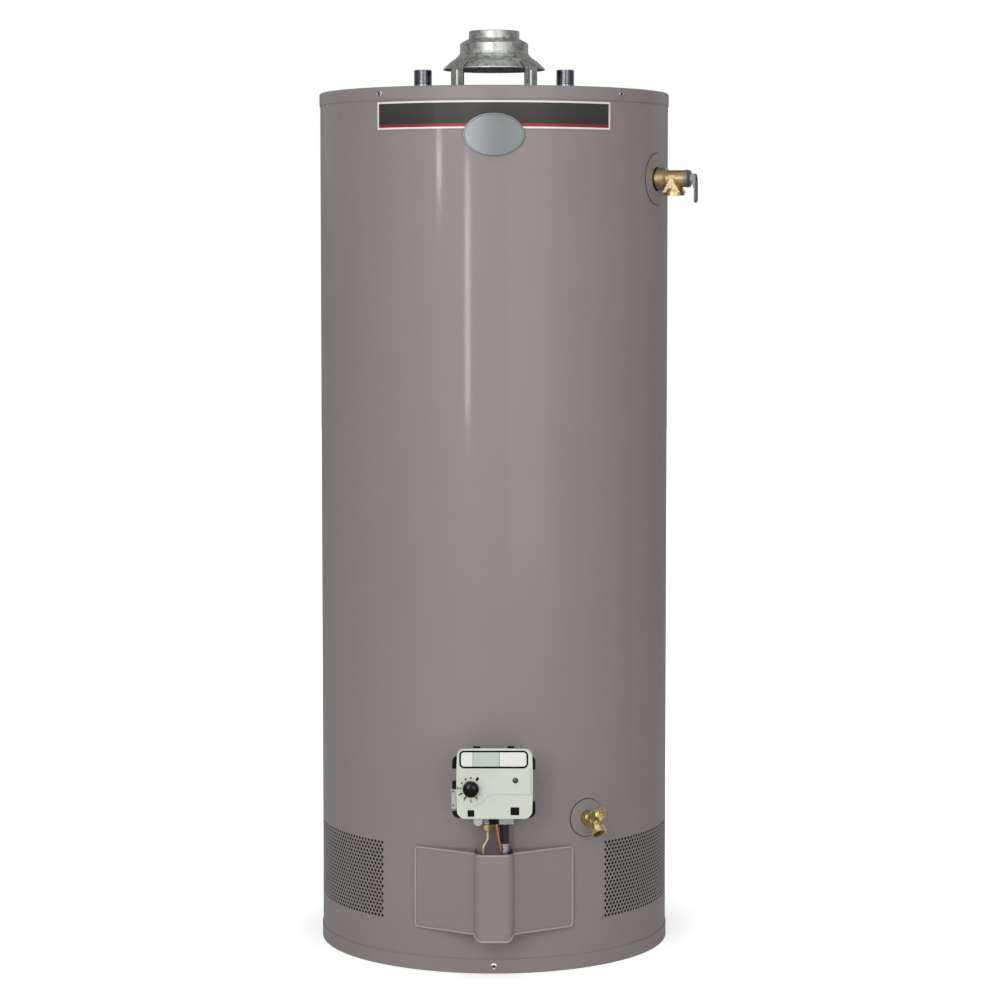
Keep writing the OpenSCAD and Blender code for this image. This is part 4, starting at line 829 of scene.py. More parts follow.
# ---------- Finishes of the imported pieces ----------


class HEATER_OT_finishes(HeaterOperator):
    """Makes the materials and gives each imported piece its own"""
    bl_idname = "heater.finishes"
    bl_label = "Finishes"

    def make(self):
        c = colours()
        FINISH.update({
            "painted_jacket": baked_enamel(c.enamel),
            # Painted highlight: the enamel on the rolled edges is drawn 1.45 times paler and with a wetter skin than
            # the flat, for the light that the rolled hems catch.
            "rolled_edge_highlight": baked_enamel(shade(c.enamel, 1.45), "Baked enamel painted paler as highlight on rolled edges", 0.6),
            "zinc_screws": plated_zinc(c.zinc),
            # Dark steel for the discs in the screw dishes: painted shade.
            "painted_dish_shade": bare_steel(linear("1c1c1e"), "Dark steel painted as shade in screw dishes", 0.6),
            "foam": rigid_foam(linear("d9c98f")),
            "tank_steel": tank_plate(linear("4a4645")),
            "bare_steel": bare_steel(linear("9c9fa1")),
            "supply_tube": coated_gas_tube(c.tube),
            "pilot_tube": bare_steel(linear("cdc39c"), "Soft aluminium tube", 0.42),
            "brass": cast_brass(c.brass, "Machined brass", 0.6 * mm, 0.2),
            "copper": bare_steel(linear("c9835a"), "Drawn copper", 0.3),
            "lead_jacket": braided_sleeve(linear("b08050")),
            "gasket": woven_fibre(linear("c9c4b4")),
            "sight_glass": thick_glass(linear("b9cdd4")),
            # Black rings behind the valve plates, as painted shadow.
            "black_rubber": vulcanised_rubber(linear("222222")),
            "control_alloy": die_cast_alloy(linear("b4b6b6")),
            "black_plastic": moulded_plastic("Glass-filled nylon", c.black, 0.55, gleam=0.12),
            "white_plastic": moulded_plastic("Off-white ABS", c.cover, 0.4),
            "label_panel": printed_film(linear("eceee9"), linear("3a3d3a")),
            "lens": smoked_lens(linear("39433c")),
            "igniter_shell": moulded_plastic("Natural nylon", linear("c9cbc6"), 0.35, coat=0.3),
            "red_button": moulded_plastic("Dark red ABS", linear("280607"), 0.35, gleam=0.15),
            "zinc_pipe": plated_zinc(linear("8a8c95"), "Zinc-plated pipe", 0.1, 0.2),
            "liner_plastic": moulded_plastic("Natural polyethylene", linear("e8e4da"), 0.45),
            "anode": magnesium(linear("9b9a94")),
            "bonnet_steel": bare_steel(linear("85888a"), "Pressed satin steel", 0.4),
            "galvanised": galvanised_sheet(c.galvanised),
            "plate_dark": printed_plate(c.plate),
            "oval_silver": brushed_badge(linear("707475")),
            "knob": moulded_plastic("Glossy black ABS", linear("030304"), 0.12, gleam=0.2),
            "ink": moulded_plastic("Screen ink", linear("060606"), 0.6, gleam=0.1),
            "silver_ink": moulded_plastic("Silver screen ink", linear("f0eeea"), 0.35),
            # Near-black cloth behind the intake holes: painted shade.
            "screen": wire_cloth(linear("0b0b0c")),
            "red_ink": moulded_plastic("Red screen ink", c.stripe, 0.4),
            "sealant": thread_sealant_paste(linear("a9c48f")),
            "bronze": cast_brass(c.bronze),
        })
        for name, node in frame["nodes"].items():
            material = FINISH["bronze" if name == "relief_body" else SLOT_OF_NODE[name]]
            for slot in node.material_slots:
                slot.material = material
            if not node.material_slots:
                node.data.materials.append(material)


# ---------- Fittings ----------


def hex_prism(name, across_flats, low, high, chamfer):
    """A hexagonal prism on Z whose corners are chamfered top and bottom, as a bar-turned nut's are."""
    corner, flat = across_flats / math.sqrt(3), across_flats / 2 - 0.05 * mm
    piece = start("cylinder", name, vertices=6, radius=corner, depth=high - low, location=(0, 0, (low + high) / 2))
    beyond, past = corner + 0.1 * mm, 0.01 * mm
    tool = turned("Chamfer_tool", [
        [flat, low - past], [beyond, low + chamfer], [beyond, high - chamfer], [flat, high + past]])
    return cut(piece, tool, "INTERSECT")


def helical_thread(name, root, crest, pitch, low, high, sides=48):
    """A closed threaded rod on Z: one tooth's outline is screwed up the rod, then both ends are cut off flat."""
    piece = start("plane", name, size=pitch, location=(root, 0, low - pitch))
    with editing(piece):
        pick_all("VERT")
        bpy.ops.mesh.merge(type="CENTER")
        at, height = root, 0
        for radius, share in ((root, 0.12), (crest, 0.42), (crest, 0.58), (root, 0.88), (root, 1)):
            step = (radius - at, 0, (share - height) * pitch)
            bpy.ops.mesh.extrude_region_move(TRANSFORM_OT_translate={"value": step})
            at, height = radius, share
    turns = math.ceil((high - low) / pitch) + 2
    apply(piece, "SCREW", axis="Z", screw_offset=pitch, iterations=turns, steps=sides, render_steps=sides,
          use_merge_vertices=True, merge_threshold=0.001 * mm)
    with editing(piece):
        pick_all()
        bpy.ops.mesh.remove_doubles(threshold=0.002 * mm)
        slice_ends(low, high)
        face_out()
    return piece


class HEATER_OT_sheet_screws(HeaterOperator):
    """Hex-washer screws round the cap and the base pan and in the hood's feet"""
    bl_idname = "heater.sheet_screws"
    bl_label = "Sheet-metal screws"
    # Degrees from the front, to the right.
    cap_azimuths, base_azimuths, foot_azimuths = (-38.7, 44.2, 141, 224), (0, 120, 240), (45, 135, 225, 315)

    def screw(self, shank):
        """One screw whose washer sits on z = 0: a flange, a dished hexagon and a cut thread."""
        flange = turned("Flange", profile((3.2, 0), (4.5, 0.15), (4.5, 0.55), (4.0, 0.85), (1.5, 0.9)), 32)
        head = start("cylinder", "Head", vertices=6, radius=sizes().screw_hex / math.sqrt(3), depth=1.7 * mm,
                     location=(0, 0, 1.6 * mm))
        with editing(head):
            pick_top(head)
            sink(0.55 * mm, 0.45 * mm)
        soften(head, 0.18 * mm)
        thread = helical_thread("Thread", 1.5 * mm, 1.95 * mm, 1.4 * mm, -shank, 0.1 * mm, 16)
        return join([flange, head, thread], "Screw")

    def make(self):
        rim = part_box("base_pan")[1].x + 0.05 * mm
        cap = [outward(azimuth, rim, middle("cap_screws").z) for azimuth in self.cap_azimuths]
        base = [outward(azimuth, rim, middle("base_screws").z) for azimuth in self.base_azimuths]
        finish_piece(copies(self.screw(7.5 * mm), cap, "Cap_rim_screws"), "zinc_screws", stands_for=["cap_screws"])
        # A dark disc sits in the dish of each head, as painted shade in the recess.
        dish = rod("Dish_shade", 1.75 * mm, 1.9 * mm, 2.3 * mm, 24)
        finish_piece(copies(dish, cap + base, "Screw_dish_shades"), "zinc_screws", material="painted_dish_shade")
        finish_piece(copies(self.screw(7.5 * mm), base, "Base_pan_screws"), "zinc_screws", stands_for=["base_screws"])
        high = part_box("hood_fasteners")[1]
        reach, seat = (high.x - 4 * mm) * math.sqrt(2), high.z - 2.4 * mm
        feet = [turn(azimuth, "Z") @ shift(0, -reach, seat) for azimuth in self.foot_azimuths]
        finish_piece(copies(self.screw(8 * mm), feet, "Hood_foot_screws"), "zinc_screws", stands_for=["hood_fasteners"])


class HEATER_OT_water_nipples(HeaterOperator):
    """Hot and cold pipe nipples with a cut taper thread"""
    bl_idname = "heater.water_nipples"
    bl_label = "Water nipples"
    thread_length, bore = 20 * mm, 10.45 * mm

    def make(self):
        for node in ("hot_nipple", "cold_nipple"):
            low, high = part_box(node)
            centre, top = middle(node), high.z
            crest = (high.x - low.x) / 2
            root = crest - sizes().pipe_thread
            foot = top - self.thread_length
            thread = helical_thread("Thread", root, crest, sizes().pipe_pitch, foot, top)
            cut(thread, turned("Taper", [[crest + 1 * mm, foot - 1 * mm], [crest + 1 * mm, top - 2.2 * mm],
                                         [crest - 1.4 * mm, top + 0.01 * mm]]), "INTERSECT")
            shank = turned("Shank", [[crest - 0.3 * mm, low.z], [crest - 0.3 * mm, foot - 0.8 * mm],
                                     [root, foot], [root, foot + 0.4 * mm]])
            bore = [[self.bore, low.z - 5 * mm], [self.bore, top - 0.8 * mm], [self.bore + 0.85 * mm, top + 1 * mm]]
            nipple = bored([thread, shank], node.title() + "_threaded", bore, 64)
            put(nipple, shift(centre.x, centre.y, 0))
            finish_piece(nipple, "zinc_pipe", stands_for=[node])


class HEATER_OT_temperature_dial(HeaterOperator):
    """Fluted temperature dial, and the scale printed round it"""
    bl_idname = "heater.temperature_dial"
    bl_label = "Temperature dial"
    # Hour on the clock's face, inner and outer end from the dial's centre and width in millimetres.
    ticks = ((5, 12.9, 16.2, 2.0), (7, 12.9, 16.2, 2.0), (8, 12.9, 16.2, 1.9), (9, 12.9, 15.2, 1.5),
             (1.15, 12.9, 17.8, 3.4))
    dots, dot_reach, numeral_reach = (10, 11, 12), 14.2 * mm, 17.8 * mm
    numerals = (("1", 5), ("2", 6), ("3", 7), ("4", 8), ("5", 9))

    def make(self):
        low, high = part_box("temperature_dial")
        centre, radius, depth = middle("temperature_dial"), (high.x - low.x) / 2, high.y - low.y
        knob = turned("Knob", [
            *profile((-0.3, 0), (0, 0.3), (0, 2.4), (-0.6, 2.9), (-0.5, 3.2), out=radius),
            *profile((-0.6, -3.4), (-0.9, -2.9), (-2.0, -2.1), (-3.6, -1.3), (-5.4, -0.7), (-7.4, -0.25), (-9.6, -0.02),
                     out=radius, up=depth),
            [0.2 * mm, depth]], 96)
        flute = rod("Flute", 0.62 * mm, 3.4 * mm, depth + 1 * mm, 16)
        count = sizes().knob_flutes
        places = [turn(360 * k / count, "Z") @ shift(radius - 0.3 * mm, 0, 0) for k in range(count)]
        cut(knob, copies(flute, places, "Flutes"))
        cut(knob, start("cube", "Notch", (1.3 * mm, 5 * mm, 1.4 * mm), size=1, location=(0, radius - 3.5 * mm, depth)))
        cut(knob, rod("Socket", 3.55 * mm, -1 * mm, depth - 3 * mm, 32))
        put(knob, facing_front(centre.x, high.y, centre.z))
        finish_piece(knob, "black_plastic", "dial", ["temperature_dial"], material="knob")
        self.scale(centre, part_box("control_cover")[0].y)

    def scale(self, centre, face):
        """Ticks and numerals printed on the pad, clockwise from the lower left, and dots over the dial."""
        marks = [self.bar(hour, inner * mm, outer * mm, width * mm) for hour, inner, outer, width in self.ticks]
        for hour in self.dots:
            marks.append(put(rod("Dot", 1.2 * mm, 0, 0.1 * mm, 16), self.at(hour, self.dot_reach)))
        marks += [self.numeral(text, hour) for text, hour in self.numerals]
        scale = put(join(marks, "Dial_scale"), facing_front(centre.x, face, centre.z))
        finish_piece(scale, "black_plastic", material="ink")

    def at(self, hour, radius):
        angle = math.radians(90 - 30 * hour)
        return shift(radius * math.cos(angle), radius * math.sin(angle), -0.02 * mm)

    def bar(self, hour, inner, outer, width):
        bar = soften(start("cube", "Mark", (width, outer - inner, 0.12 * mm), size=1), 0.04 * mm)
        return put(bar, turn(-30 * hour, "Z") @ shift(0, (inner + outer) / 2, 0.04 * mm))

    def numeral(self, text, hour):
        deselect()
        bpy.ops.object.text_add()
        letters = bpy.context.active_object.data
        letters.body, letters.size, letters.extrude, letters.offset = text, 4.6 * mm, 0.05 * mm, 0.18 * mm
        letters.align_x, letters.align_y = "CENTER", "CENTER"
        bpy.ops.object.convert(target="MESH")
        return put(bpy.context.active_object, self.at(hour, self.numeral_reach) @ shift(0, 0, 0.06 * mm))


class HEATER_OT_control_face(HeaterOperator):
    """Rim of the printed panel, the status light and the caps in the two ports"""
    bl_idname = "heater.control_face"
    bl_label = "Control face"
    # Name, x, depth below the dial's axis, width and height of each cap, and the x of its terminal sockets.
    ports = (("Port_cap_1", -31 * mm, 35 * mm, 8.7 * mm, 8.7 * mm, ()),
             ("Port_cap_2", 28.7 * mm, 32 * mm, 11.5 * mm, 10.5 * mm, (-2.0 * mm, 2.0 * mm)))

    def make(self):
        low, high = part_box("control_label")
        centre, grow = middle("control_label"), 2.6 * mm
        rim = rounded_frame("Panel_rim", high.x - low.x + grow, high.z - low.z + grow, 6.8 * mm, 2.5 * mm, 0.9 * mm)
        put(soften(rim, 0.2 * mm), facing_front(centre.x, high.y, centre.z))
        finish_piece(rim, "black_plastic", material="ink")
        self.light()
        low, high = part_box("igniter_body")
        pins = [put(rod("Pin", 1.1 * mm, 0, 1.4 * mm, 16), facing_front(low.x + 3.2 * mm, low.y + 1.8 * mm, z))
                for z in (high.z - 3 * mm, low.z + 5 * mm)]
        finish_piece(join(pins, "Igniter_pins"), "black_plastic")
        for port in self.ports:
            self.cap(*port)

    def light(self):
        """A smoked dome over the status light."""
        low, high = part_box("status_lens")
        centre, radius, reach = middle("status_lens"), (high.x - low.x) / 2, high.y - low.y
        dome = turned("Status_dome", [
            [radius - 0.2 * mm, 0],
            *profile((-0.1, -0.6), (-0.5, 0.1), (-1.2, 0.7), (-2.2, 1.1), out=radius, up=reach),
            [0.6 * mm, reach + 1.3 * mm]], 48)
        put(dome, facing_front(centre.x, high.y, centre.z))
        finish_piece(dome, "lens", stands_for=["status_lens"])

    def cap(self, name, x, below_dial, width, height, sockets):
        """A cap pushed into a port: a lip, a sunk face with a raised middle, and terminal sockets."""
        front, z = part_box("control_cover")[0].y + 4.4 * mm, middle("temperature_dial").z - below_dial
        cap = start("cube", "Cap", (width, height, 1.9 * mm), size=1, location=(0, 0, 0.5 * mm))
        with editing(cap):
            pick_top(cap)
            sink(1.1 * mm, 1.1 * mm)
            sink(0.8 * mm, -0.7 * mm)
        soften(cap, 0.25 * mm)
        pins = [put(turned("Pin", profile((0.9, 0.2), (0.9, 1.5), (0.5, 1.8)), 16), shift(at, 0, 0)) for at in sockets]
        whole = put(join([cap, *pins], name), facing_front(x, front, z))
        finish_piece(whole, "black_plastic")


class HEATER_OT_nameplate_trim(HeaterOperator):
    """Silver border and red stripe of the nameplate, and the raised rim of the oval"""
    bl_idname = "heater.nameplate_trim"
    bl_label = "Nameplate trim"

    def make(self):
        low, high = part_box("nameplate")
        radius, border, stripe = -low.y, sizes().border, sizes().stripe
        length = 2 * math.asin(high.x / radius) * radius
        outline = flat_grid("Nameplate_border", length, high.z - low.z)
        self.hollow(outline, border, 0.5 * mm, 0.12 * mm, 2, use_even_offset=True)
        band = flat_strip("Nameplate_stripe", length - 2 * border, stripe, 0.25 * mm)
        for piece, height, slot, ink in ((outline, middle("nameplate").z, "oval_silver", "silver_ink"),
                                         (band, low.z + border + stripe / 2, "plate_dark", "red_ink")):
            wrap(piece, radius + 0.02 * mm)
            finish_piece(put(piece, shift(0, 0, height)), slot, material=ink)
        self.oval()

    def hollow(self, piece, wide, thick, edge, segments, **settings):
        """Takes the middle out of a flat sheet, thickens and softens what is left, and stands it up."""
        with editing(piece):
            pick_all("FACE")
            bpy.ops.mesh.inset(thickness=wide, **settings)
            bpy.ops.mesh.delete(type="FACE")
        apply(piece, "SOLIDIFY", thickness=thick, offset=1)
        put(soften(piece, edge, segments), turn(90, "X"))

    def oval(self):
        """A half-round rim round the oval, bent to the jacket."""
        low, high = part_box("nameplate_oval")
        rim = start("circle", "Oval_rim", ((high.x - low.x) / 2, (high.z - low.z) / 2, 1), vertices=96, radius=1,
                    fill_type="NGON")
        self.hollow(rim, 2.2 * mm, 0.9 * mm, 0.35 * mm, 3)
        wrap(rim, -low.y + 0.1 * mm)
        put(rim, shift(0, 0, middle("nameplate_oval").z))
        finish_piece(rim, "oval_silver", smooth=60)


class HEATER_OT_gas_fittings(HeaterOperator):
    """Turned pilot nut and the set sealant on the gas outlet"""
    bl_idname = "heater.gas_fittings"
    bl_label = "Gas fittings"
    # Axis of the supply tube below the control, and its radius.
    outlet_x, outlet_y, tube = 14.4 * mm, -271 * mm, 6.35 * mm

    def make(self):
        low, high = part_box("pilot_nut")
        centre, foot = middle("pilot_nut"), low.z
        nut = hex_prism("Nut", 10 * mm, foot, foot + 7.2 * mm, 0.9 * mm)
        collar = turned("Collar", [
            *profile((3.4, 7.0), (3.9, 7.2), (4.4, 7.8), (4.4, 9.2), (3.7, 9.8), up=foot), [3.7 * mm, high.z]], 48)
        sleeve = turned("Sleeve", profile((2.9, -2.4), (3.5, -1.6), (3.5, 0.2), up=foot), 48)
        whole = bored([nut, collar, sleeve], "Pilot_nut_turned", profile((2.55, -5), (2.55, 5), up=foot))
        put(whole, shift(centre.x, centre.y, 0))
        finish_piece(whole, "brass", stands_for=["pilot_nut"])
        self.sealant()

    def sealant(self):
        """A lumpy ring of paste squeezed out round the supply tube, under the outlet block."""
        ring = turned("Sealant", profile((0.1, -1.6), (0.9, -1.1), (1.4, 0), (0.2, 0.6), out=self.tube))
        cut(ring, rod("Hole", self.tube + 0.05 * mm, -5 * mm, 5 * mm))
        put(ring, shift(self.outlet_x, self.outlet_y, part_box("control_casting")[0].z + 0.2 * mm))
        finish_piece(ring, "gasket", material="sealant")


class HEATER_OT_drain_fittings(HeaterOperator):
    """Chamfered bonnet and the hose thread of the drain valve"""
    bl_idname = "heater.drain_fittings"
    bl_label = "Drain valve fittings"
    # The elbow's distance from the heater's axis. The stem leans up and the outlet leans down from level.
    elbow, stem_tilt, outlet_tilt = 268 * mm, 35, -48

    def frame(self, tilt):
        """A place at the valve's elbow whose Z points along the stem or the outlet."""
        return outward(azimuth_of("drain_washer"), self.elbow, middle("drain_plate").z) @ turn(-tilt, "X")

    def make(self):
        bonnet = hex_prism("Bonnet", 17 * mm, 13.2 * mm, 22.4 * mm, 1.4 * mm)
        crown = turned("Crown", profile((8.2, 22.3), (8.2, 22.9), (7.2, 24.2)), 48)
        neck = turned("Neck", profile((7.6, 13.06), (7.9, 13.16), (7.9, 13.4)), 48)
        whole = bored([bonnet, crown, neck], "Drain_bonnet_turned", profile((3.05, 10), (3.05, 30)))
        finish_piece(put(whole, self.frame(self.stem_tilt)), "brass", stands_for=["drain_bonnet"])
        thread = helical_thread("Hose_thread", 11.0 * mm, 11.9 * mm, sizes().hose_pitch, 15 * mm, 22.6 * mm)
        cut(thread, rod("Hole", 10.9 * mm, 10 * mm, 30 * mm))
        finish_piece(put(thread, self.frame(self.outlet_tilt)), "brass")


class HEATER_OT_relief_fittings(HeaterOperator):
    """Crimped edge of the relief valve's bonnet"""
    bl_idname = "heater.relief_fittings"
    bl_label = "Relief valve fittings"
    # The bonnet's outer edge, from the heater's axis.
    edge = 298 * mm

    def make(self):
        crimp = turned("Crimp", profile(
            (12.0, -1.4), (12.5, -1.2), (12.7, -0.4), (12.5, 1.4), (12.0, 2.2), (11.0, 2.6)))
        cut(crimp, rod("Hole", 11.95 * mm, -5 * mm, 2.0 * mm))
        cut(crimp, rod("Hole", 10.6 * mm, -5 * mm, 5 * mm))
        put(crimp, outward(azimuth_of("relief_bonnet"), self.edge, middle("relief_bonnet").z))
        finish_piece(crimp, "bonnet_steel")


class HEATER_OT_plate_shadow_rings(HeaterOperator):
    """Thin black rings behind the valves' cover plates, as painted shadow: a dark line round each plate"""
    bl_idname = "heater.plate_seals"
    bl_label = "Plate shadow rings"
    near, far = 200 * mm, 280 * mm

    def make(self):
        shadow_rings = []
        for node, opening in VALVE_OPENINGS.items():
            low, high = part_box(node)
            place = outward(azimuth_of(node), 0, middle(node).z)
            # Painted shadow: each ring shows 1 mm past its plate's edge.
            ring = (high.z - low.z) / 2 + 1.0 * mm
            shadow_ring = rod("Shadow_ring", JACKET_RADIUS + 0.6 * mm, low.z - 9 * mm, high.z + 9 * mm, 256)
            cut(shadow_ring, rod("Inside", JACKET_RADIUS + 0.02 * mm, low.z - 19 * mm, high.z + 19 * mm, 256))
            cut(shadow_ring, put(rod("Outline", ring, self.near, self.far, 96), place), "INTERSECT")
            shadow_rings.append(cut(shadow_ring, put(rod("Opening", opening, self.near, self.far, 48), place)))
        finish_piece(join(shadow_rings, "Plate_seals"), "black_rubber")


class HEATER_OT_intake_shade_screens(HeaterOperator):
    """Wire cloth behind the two punched intake panels, near-black as painted shade so that the holes read dark"""
    bl_idname = "heater.intake_screens"
    bl_label = "Intake shade screens"
    # The arc in degrees, and the height and the middle above the floor.
    arc, height, level = 69, 116 * mm, 121 * mm

    def make(self):
        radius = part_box("base_pan")[1].x - 3 * mm
        screens = []
        for side in (-1, 1):
            screen = wrap(flat_strip("Screen", radius * math.radians(self.arc), self.height, 0.4 * mm), radius)
            screens.append(put(screen, turn(INTAKE_AZIMUTH * side, "Z") @ shift(0, 0, self.level)))
        finish_piece(join(screens, "Intake_screens"), "black_plastic", material="screen")


class HEATER_OT_punched_jacket(HeaterOperator):
    """The jacket with its two intake panels punched in staggered rows, its openings and its lapped seam"""
    bl_idname = "heater.punched_jacket"
    bl_label = "Punched jacket"
    pitch, row, first = 6.6 * mm, 5.2 * mm, 69 * mm
    columns, rows = 44, 21
    skin, door_width, door_height = 0.9 * mm, 150 * mm, 96 * mm
    # Tools for the openings reach from inside the sheet to outside it.
    window_inset, window_thick, near, far = 6 * mm, 12 * mm, 220 * mm, 280 * mm

    def make(self):
        low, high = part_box("jacket")
        radius = JACKET_RADIUS
        shell = rod("Shell", radius, low.z, high.z, 256)
        cut(shell, rod("Hollow", radius - self.skin, low.z - 1 * mm, high.z + 1 * mm, 256))
        length, height = (self.columns + 0.5) * self.pitch, self.rows * self.row
        centre_z = self.first + (self.rows - 1) / 2 * self.row
        panels, bend = [], radius - self.window_inset
        for side in (-1, 1):
            place = turn(INTAKE_AZIMUTH * side, "Z") @ shift(0, 0, centre_z)
            window = flat_strip("Window", length * bend / radius - 1 * mm, height - 1 * mm, self.window_thick)
            cut(shell, put(wrap(window, bend), place))
            panels.append(put(wrap(self.panel(self.skin / 2, side), radius - 0.02 * mm), place))
        door_low, door_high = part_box("outer_door")
        door = rounded_plate("Door_opening", self.door_width, self.door_height, 8 * mm, 60 * mm)
        cut(shell, put(door, facing_front(0, -self.near, (door_low.z + WING_FOOT + door_high.z) / 2)))
        for node, opening in VALVE_OPENINGS.items():
            tool = rod("Opening", opening, self.near, self.far, 48)
            cut(shell, put(tool, outward(azimuth_of(node), 0, middle(node).z)))
        seam = wrap(flat_strip("Seam", 16 * mm, high.z - low.z - 40 * mm, 0.5 * mm), radius + 0.45 * mm)
        put(seam, turn(180, "Z") @ shift(0, 0, (low.z + high.z) / 2))
        finish_piece(join([shell, seam], "Jacket_shell"), "painted_jacket", stands_for=["jacket"])
        for panel, side in zip(panels, ("left", "right")):
            finish_piece(panel, "painted_jacket")
            panel.name = panel.data.name = "Intake_panel_" + side

    def panel(self, skin, side):
        """A flat punched sheet across X and Z: one holed cell, repeated in staggered rows, and plain ends."""
        pitch, row = self.pitch, self.row
        holed = self.cell()
        plain = start("plane", "Plain", (pitch / 2, row, 1), size=1)
        repeat(holed, self.columns, pitch, 0, 0)
        end = put(twin(plain), shift((self.columns - 0.25) * pitch, 0, 0))
        put(plain, shift(-0.25 * pitch, row, 0))
        shifted = put(twin(holed), shift(pitch / 2, row, 0))
        sheet = join([holed, end, shifted, plain], "Panel")
        repeat(sheet, (self.rows + 1) // 2, 0, 2 * row, 0)
        with editing(sheet):
            pick_all("VERT")
            bpy.ops.mesh.remove_doubles(threshold=0.01 * mm)
            slice_off((0, (self.rows - 0.5) * row, 0), (0, 1, 0), below=False, fill=False)
            face_out()
        put(sheet, shift(-(self.columns - 0.5) / 2 * pitch, -(self.rows - 1) / 2 * row, 0))
        if side < 0:
            put(sheet, turn(180, "Y"))
        apply(sheet, "SOLIDIFY", thickness=skin, offset=0)
        return put(sheet, shift(0, skin / 2, 0) @ turn(90, "X"))

    def cell(self):
        """One cell with a round hole: the ring of eight outer points is bridged to a circle of sixteen."""
        hole = start("circle", "Cell", vertices=16, radius=sizes().hole / 2, fill_type="NOTHING")
        outer = start("plane", "Outer", (self.pitch, self.row, 1), size=1)
        with editing(outer):
            pick_all("EDGE")
            bpy.ops.mesh.subdivide(number_cuts=1)
            pick_all()
            bpy.ops.mesh.region_to_loop()
            bpy.ops.mesh.select_all(action="INVERT")
            bpy.ops.mesh.delete(type="EDGE")
        whole = join([hole, outer], "Cell")
        with editing(whole):
            pick_all("EDGE")
            bpy.ops.mesh.bridge_edge_loops()
        return whole


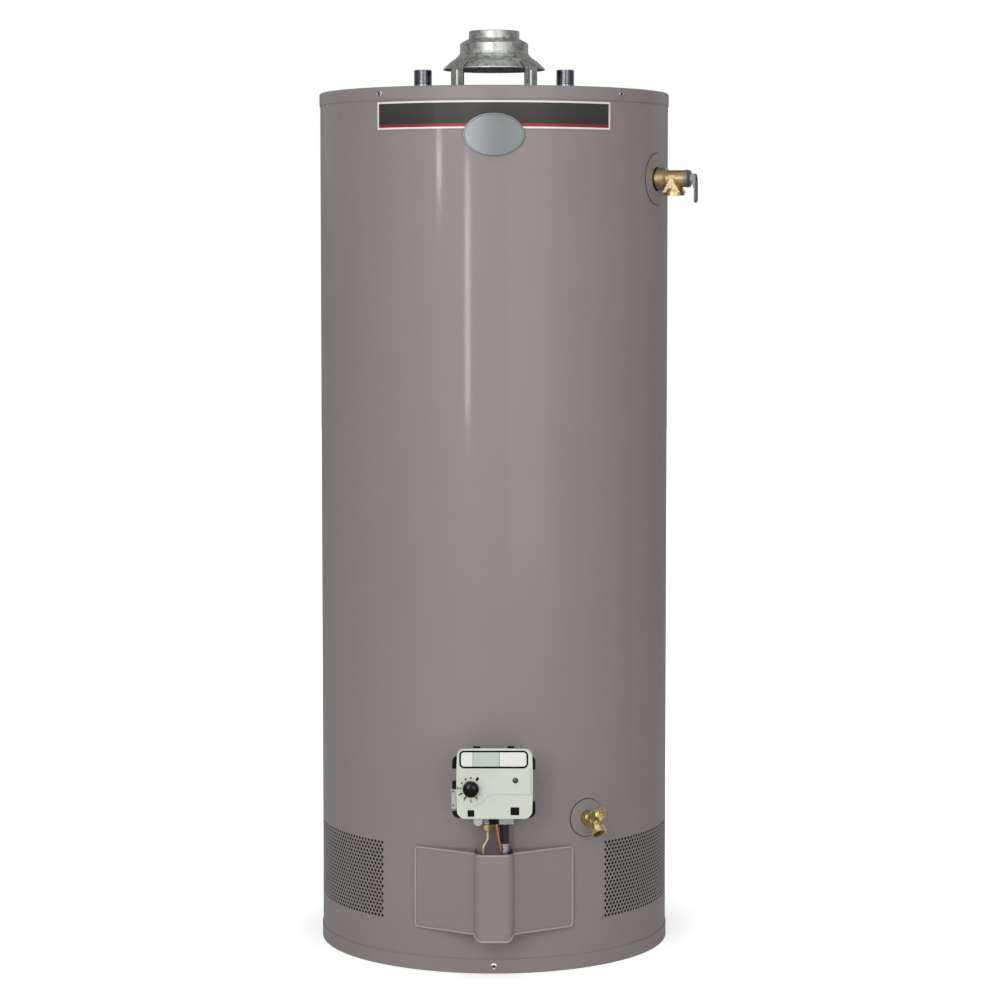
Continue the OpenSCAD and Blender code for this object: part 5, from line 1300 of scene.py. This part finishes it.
class HEATER_OT_door_hem(HeaterOperator):
    """Rolled hem along the outer edges of the burner door and round the mouth and foot of its channel"""
    bl_idname = "heater.door_hem"
    bl_label = "Door hem"
    wide, thick = 2.7 * mm, 2.2 * mm
    # How far the wings lean back, where they leave the channel and where they end.
    slope, wing_start, wing_back = math.radians(31), 27.4 * mm, -229.5 * mm
    # The channel's width, the radius of its front corners and its open back.
    channel_width, channel_corner, channel_back = 55 * mm, 13.75 * mm, -252 * mm

    def make(self):
        low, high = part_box("outer_door")
        foot = low.z + WING_FOOT
        parts = [self.wing(side, high, foot) for side in (-1, 1)]
        for ends in ((low.z, foot + self.wide), (high.z - self.wide, high.z)):
            parts.append(self.channel(low, high, *ends))
        # The hem's paler enamel is painted highlight.
        finish_piece(join(parts, "Door_hem"), "painted_jacket", "outer_door", smooth=50, material="rolled_edge_highlight")

    def wing(self, side, high, foot):
        """A frame as large as the wing and beyond, laid on the wing and cut off where the channel starts."""
        length, height = (high.x - self.wing_start) / math.cos(self.slope) + 20 * mm, high.z - foot
        frame = soften(rounded_frame("Wing_hem", length, height, 6 * mm, self.wide, self.thick), 1.0 * mm, 4)
        along = Vector((math.cos(self.slope), side * math.sin(self.slope), 0))
        face = along.cross(Vector((0, 0, 1)))
        corner = Vector((side * high.x, self.wing_back, (foot + high.z) / 2))
        centre = corner - side * along * length / 2
        place = Matrix((along, Vector((0, 0, 1)), face)).transposed().to_4x4()
        put(frame, Matrix.Translation(centre - 0.3 * mm * face) @ place)
        with editing(frame):
            slice_off((side * self.wing_start, 0, 0), (1, 0, 0), below=side > 0)
        return frame

    def channel(self, low, high, bottom, top):
        """The part of a round-cornered frame that lies on the channel's skin, between two heights."""
        shell = self.block("Channel_hem", low, 1.5 * mm)
        cut(shell, self.block("Inside", low, -0.6 * mm, 5 * mm))
        outline = rounded_frame("Outline", 57 * mm, high.z - low.z, 12.5 * mm, self.wide, 60 * mm)
        cut(shell, put(outline, facing_front(0, -250 * mm, (low.z + high.z) / 2)), "INTERSECT")
        with editing(shell):
            slice_ends(bottom, top)
        return soften(shell, 0.6 * mm, 3, angle_limit=math.radians(50))

    def block(self, name, low, grow, extra=0):
        """The channel's plan with its round front corners, grown outward and run up past both ends."""
        front, back = low.y - grow, self.channel_back + extra
        block = start("cube", name, (self.channel_width + 2 * grow, back - front, 140 * mm + 2 * extra), size=1,
                      location=(0, (front + back) / 2, 115 * mm))

        def at_front(edge):
            return drop_of(edge) > 50 * mm and edge.verts[0].co.y < back - 1 * mm

        return round_upright_edges(block, self.channel_corner + grow, 10, at_front)


# ---------- Panel and registration ----------


CLASSES = [
    HeaterSizes, HeaterColours, HeaterStudio, HEATER_OT_camera, HEATER_OT_studio, HEATER_OT_finishes,
    HEATER_OT_sheet_screws, HEATER_OT_water_nipples, HEATER_OT_temperature_dial, HEATER_OT_control_face,
    HEATER_OT_nameplate_trim, HEATER_OT_gas_fittings, HEATER_OT_drain_fittings, HEATER_OT_relief_fittings,
    HEATER_OT_plate_shadow_rings, HEATER_OT_intake_shade_screens, HEATER_OT_punched_jacket, HEATER_OT_door_hem,
]
OPERATORS = [kind for kind in CLASSES if issubclass(kind, bpy.types.Operator)]


class HEATER_PT_panel(bpy.types.Panel):
    """Lists the heater's operators and what a user may change"""
    bl_idname = "HEATER_PT_panel"
    bl_label = "Water heater"
    bl_space_type = "VIEW_3D"
    bl_region_type = "UI"
    bl_category = "Water heater"

    def draw(self, context):
        for group in (sizes(), colours(), studio()):
            box = self.layout.box()
            for key in group.__annotations__:
                box.prop(group, key)
        for kind in OPERATORS:
            self.layout.operator(kind.bl_idname)


def register():
    for kind in [*CLASSES, HEATER_PT_panel]:
        bpy.utils.register_class(kind)
    bpy.types.Scene.heater_sizes = PointerProperty(type=HeaterSizes)
    bpy.types.Scene.heater_colours = PointerProperty(type=HeaterColours)
    bpy.types.Scene.heater_studio = PointerProperty(type=HeaterStudio)


def unregister():
    del bpy.types.Scene.heater_sizes, bpy.types.Scene.heater_colours, bpy.types.Scene.heater_studio
    for kind in reversed([*CLASSES, HEATER_PT_panel]):
        bpy.utils.unregister_class(kind)


def main():
    """Dresses the heater from start to end."""
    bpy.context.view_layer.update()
    register()
    for kind in OPERATORS:
        group, name = kind.bl_idname.split(".")
        if getattr(getattr(bpy.ops, group), name)() != {"FINISHED"}:
            raise RuntimeError(f"{kind.bl_label} didn't finish")
    deselect()


if __name__ == "__main__":
    main()
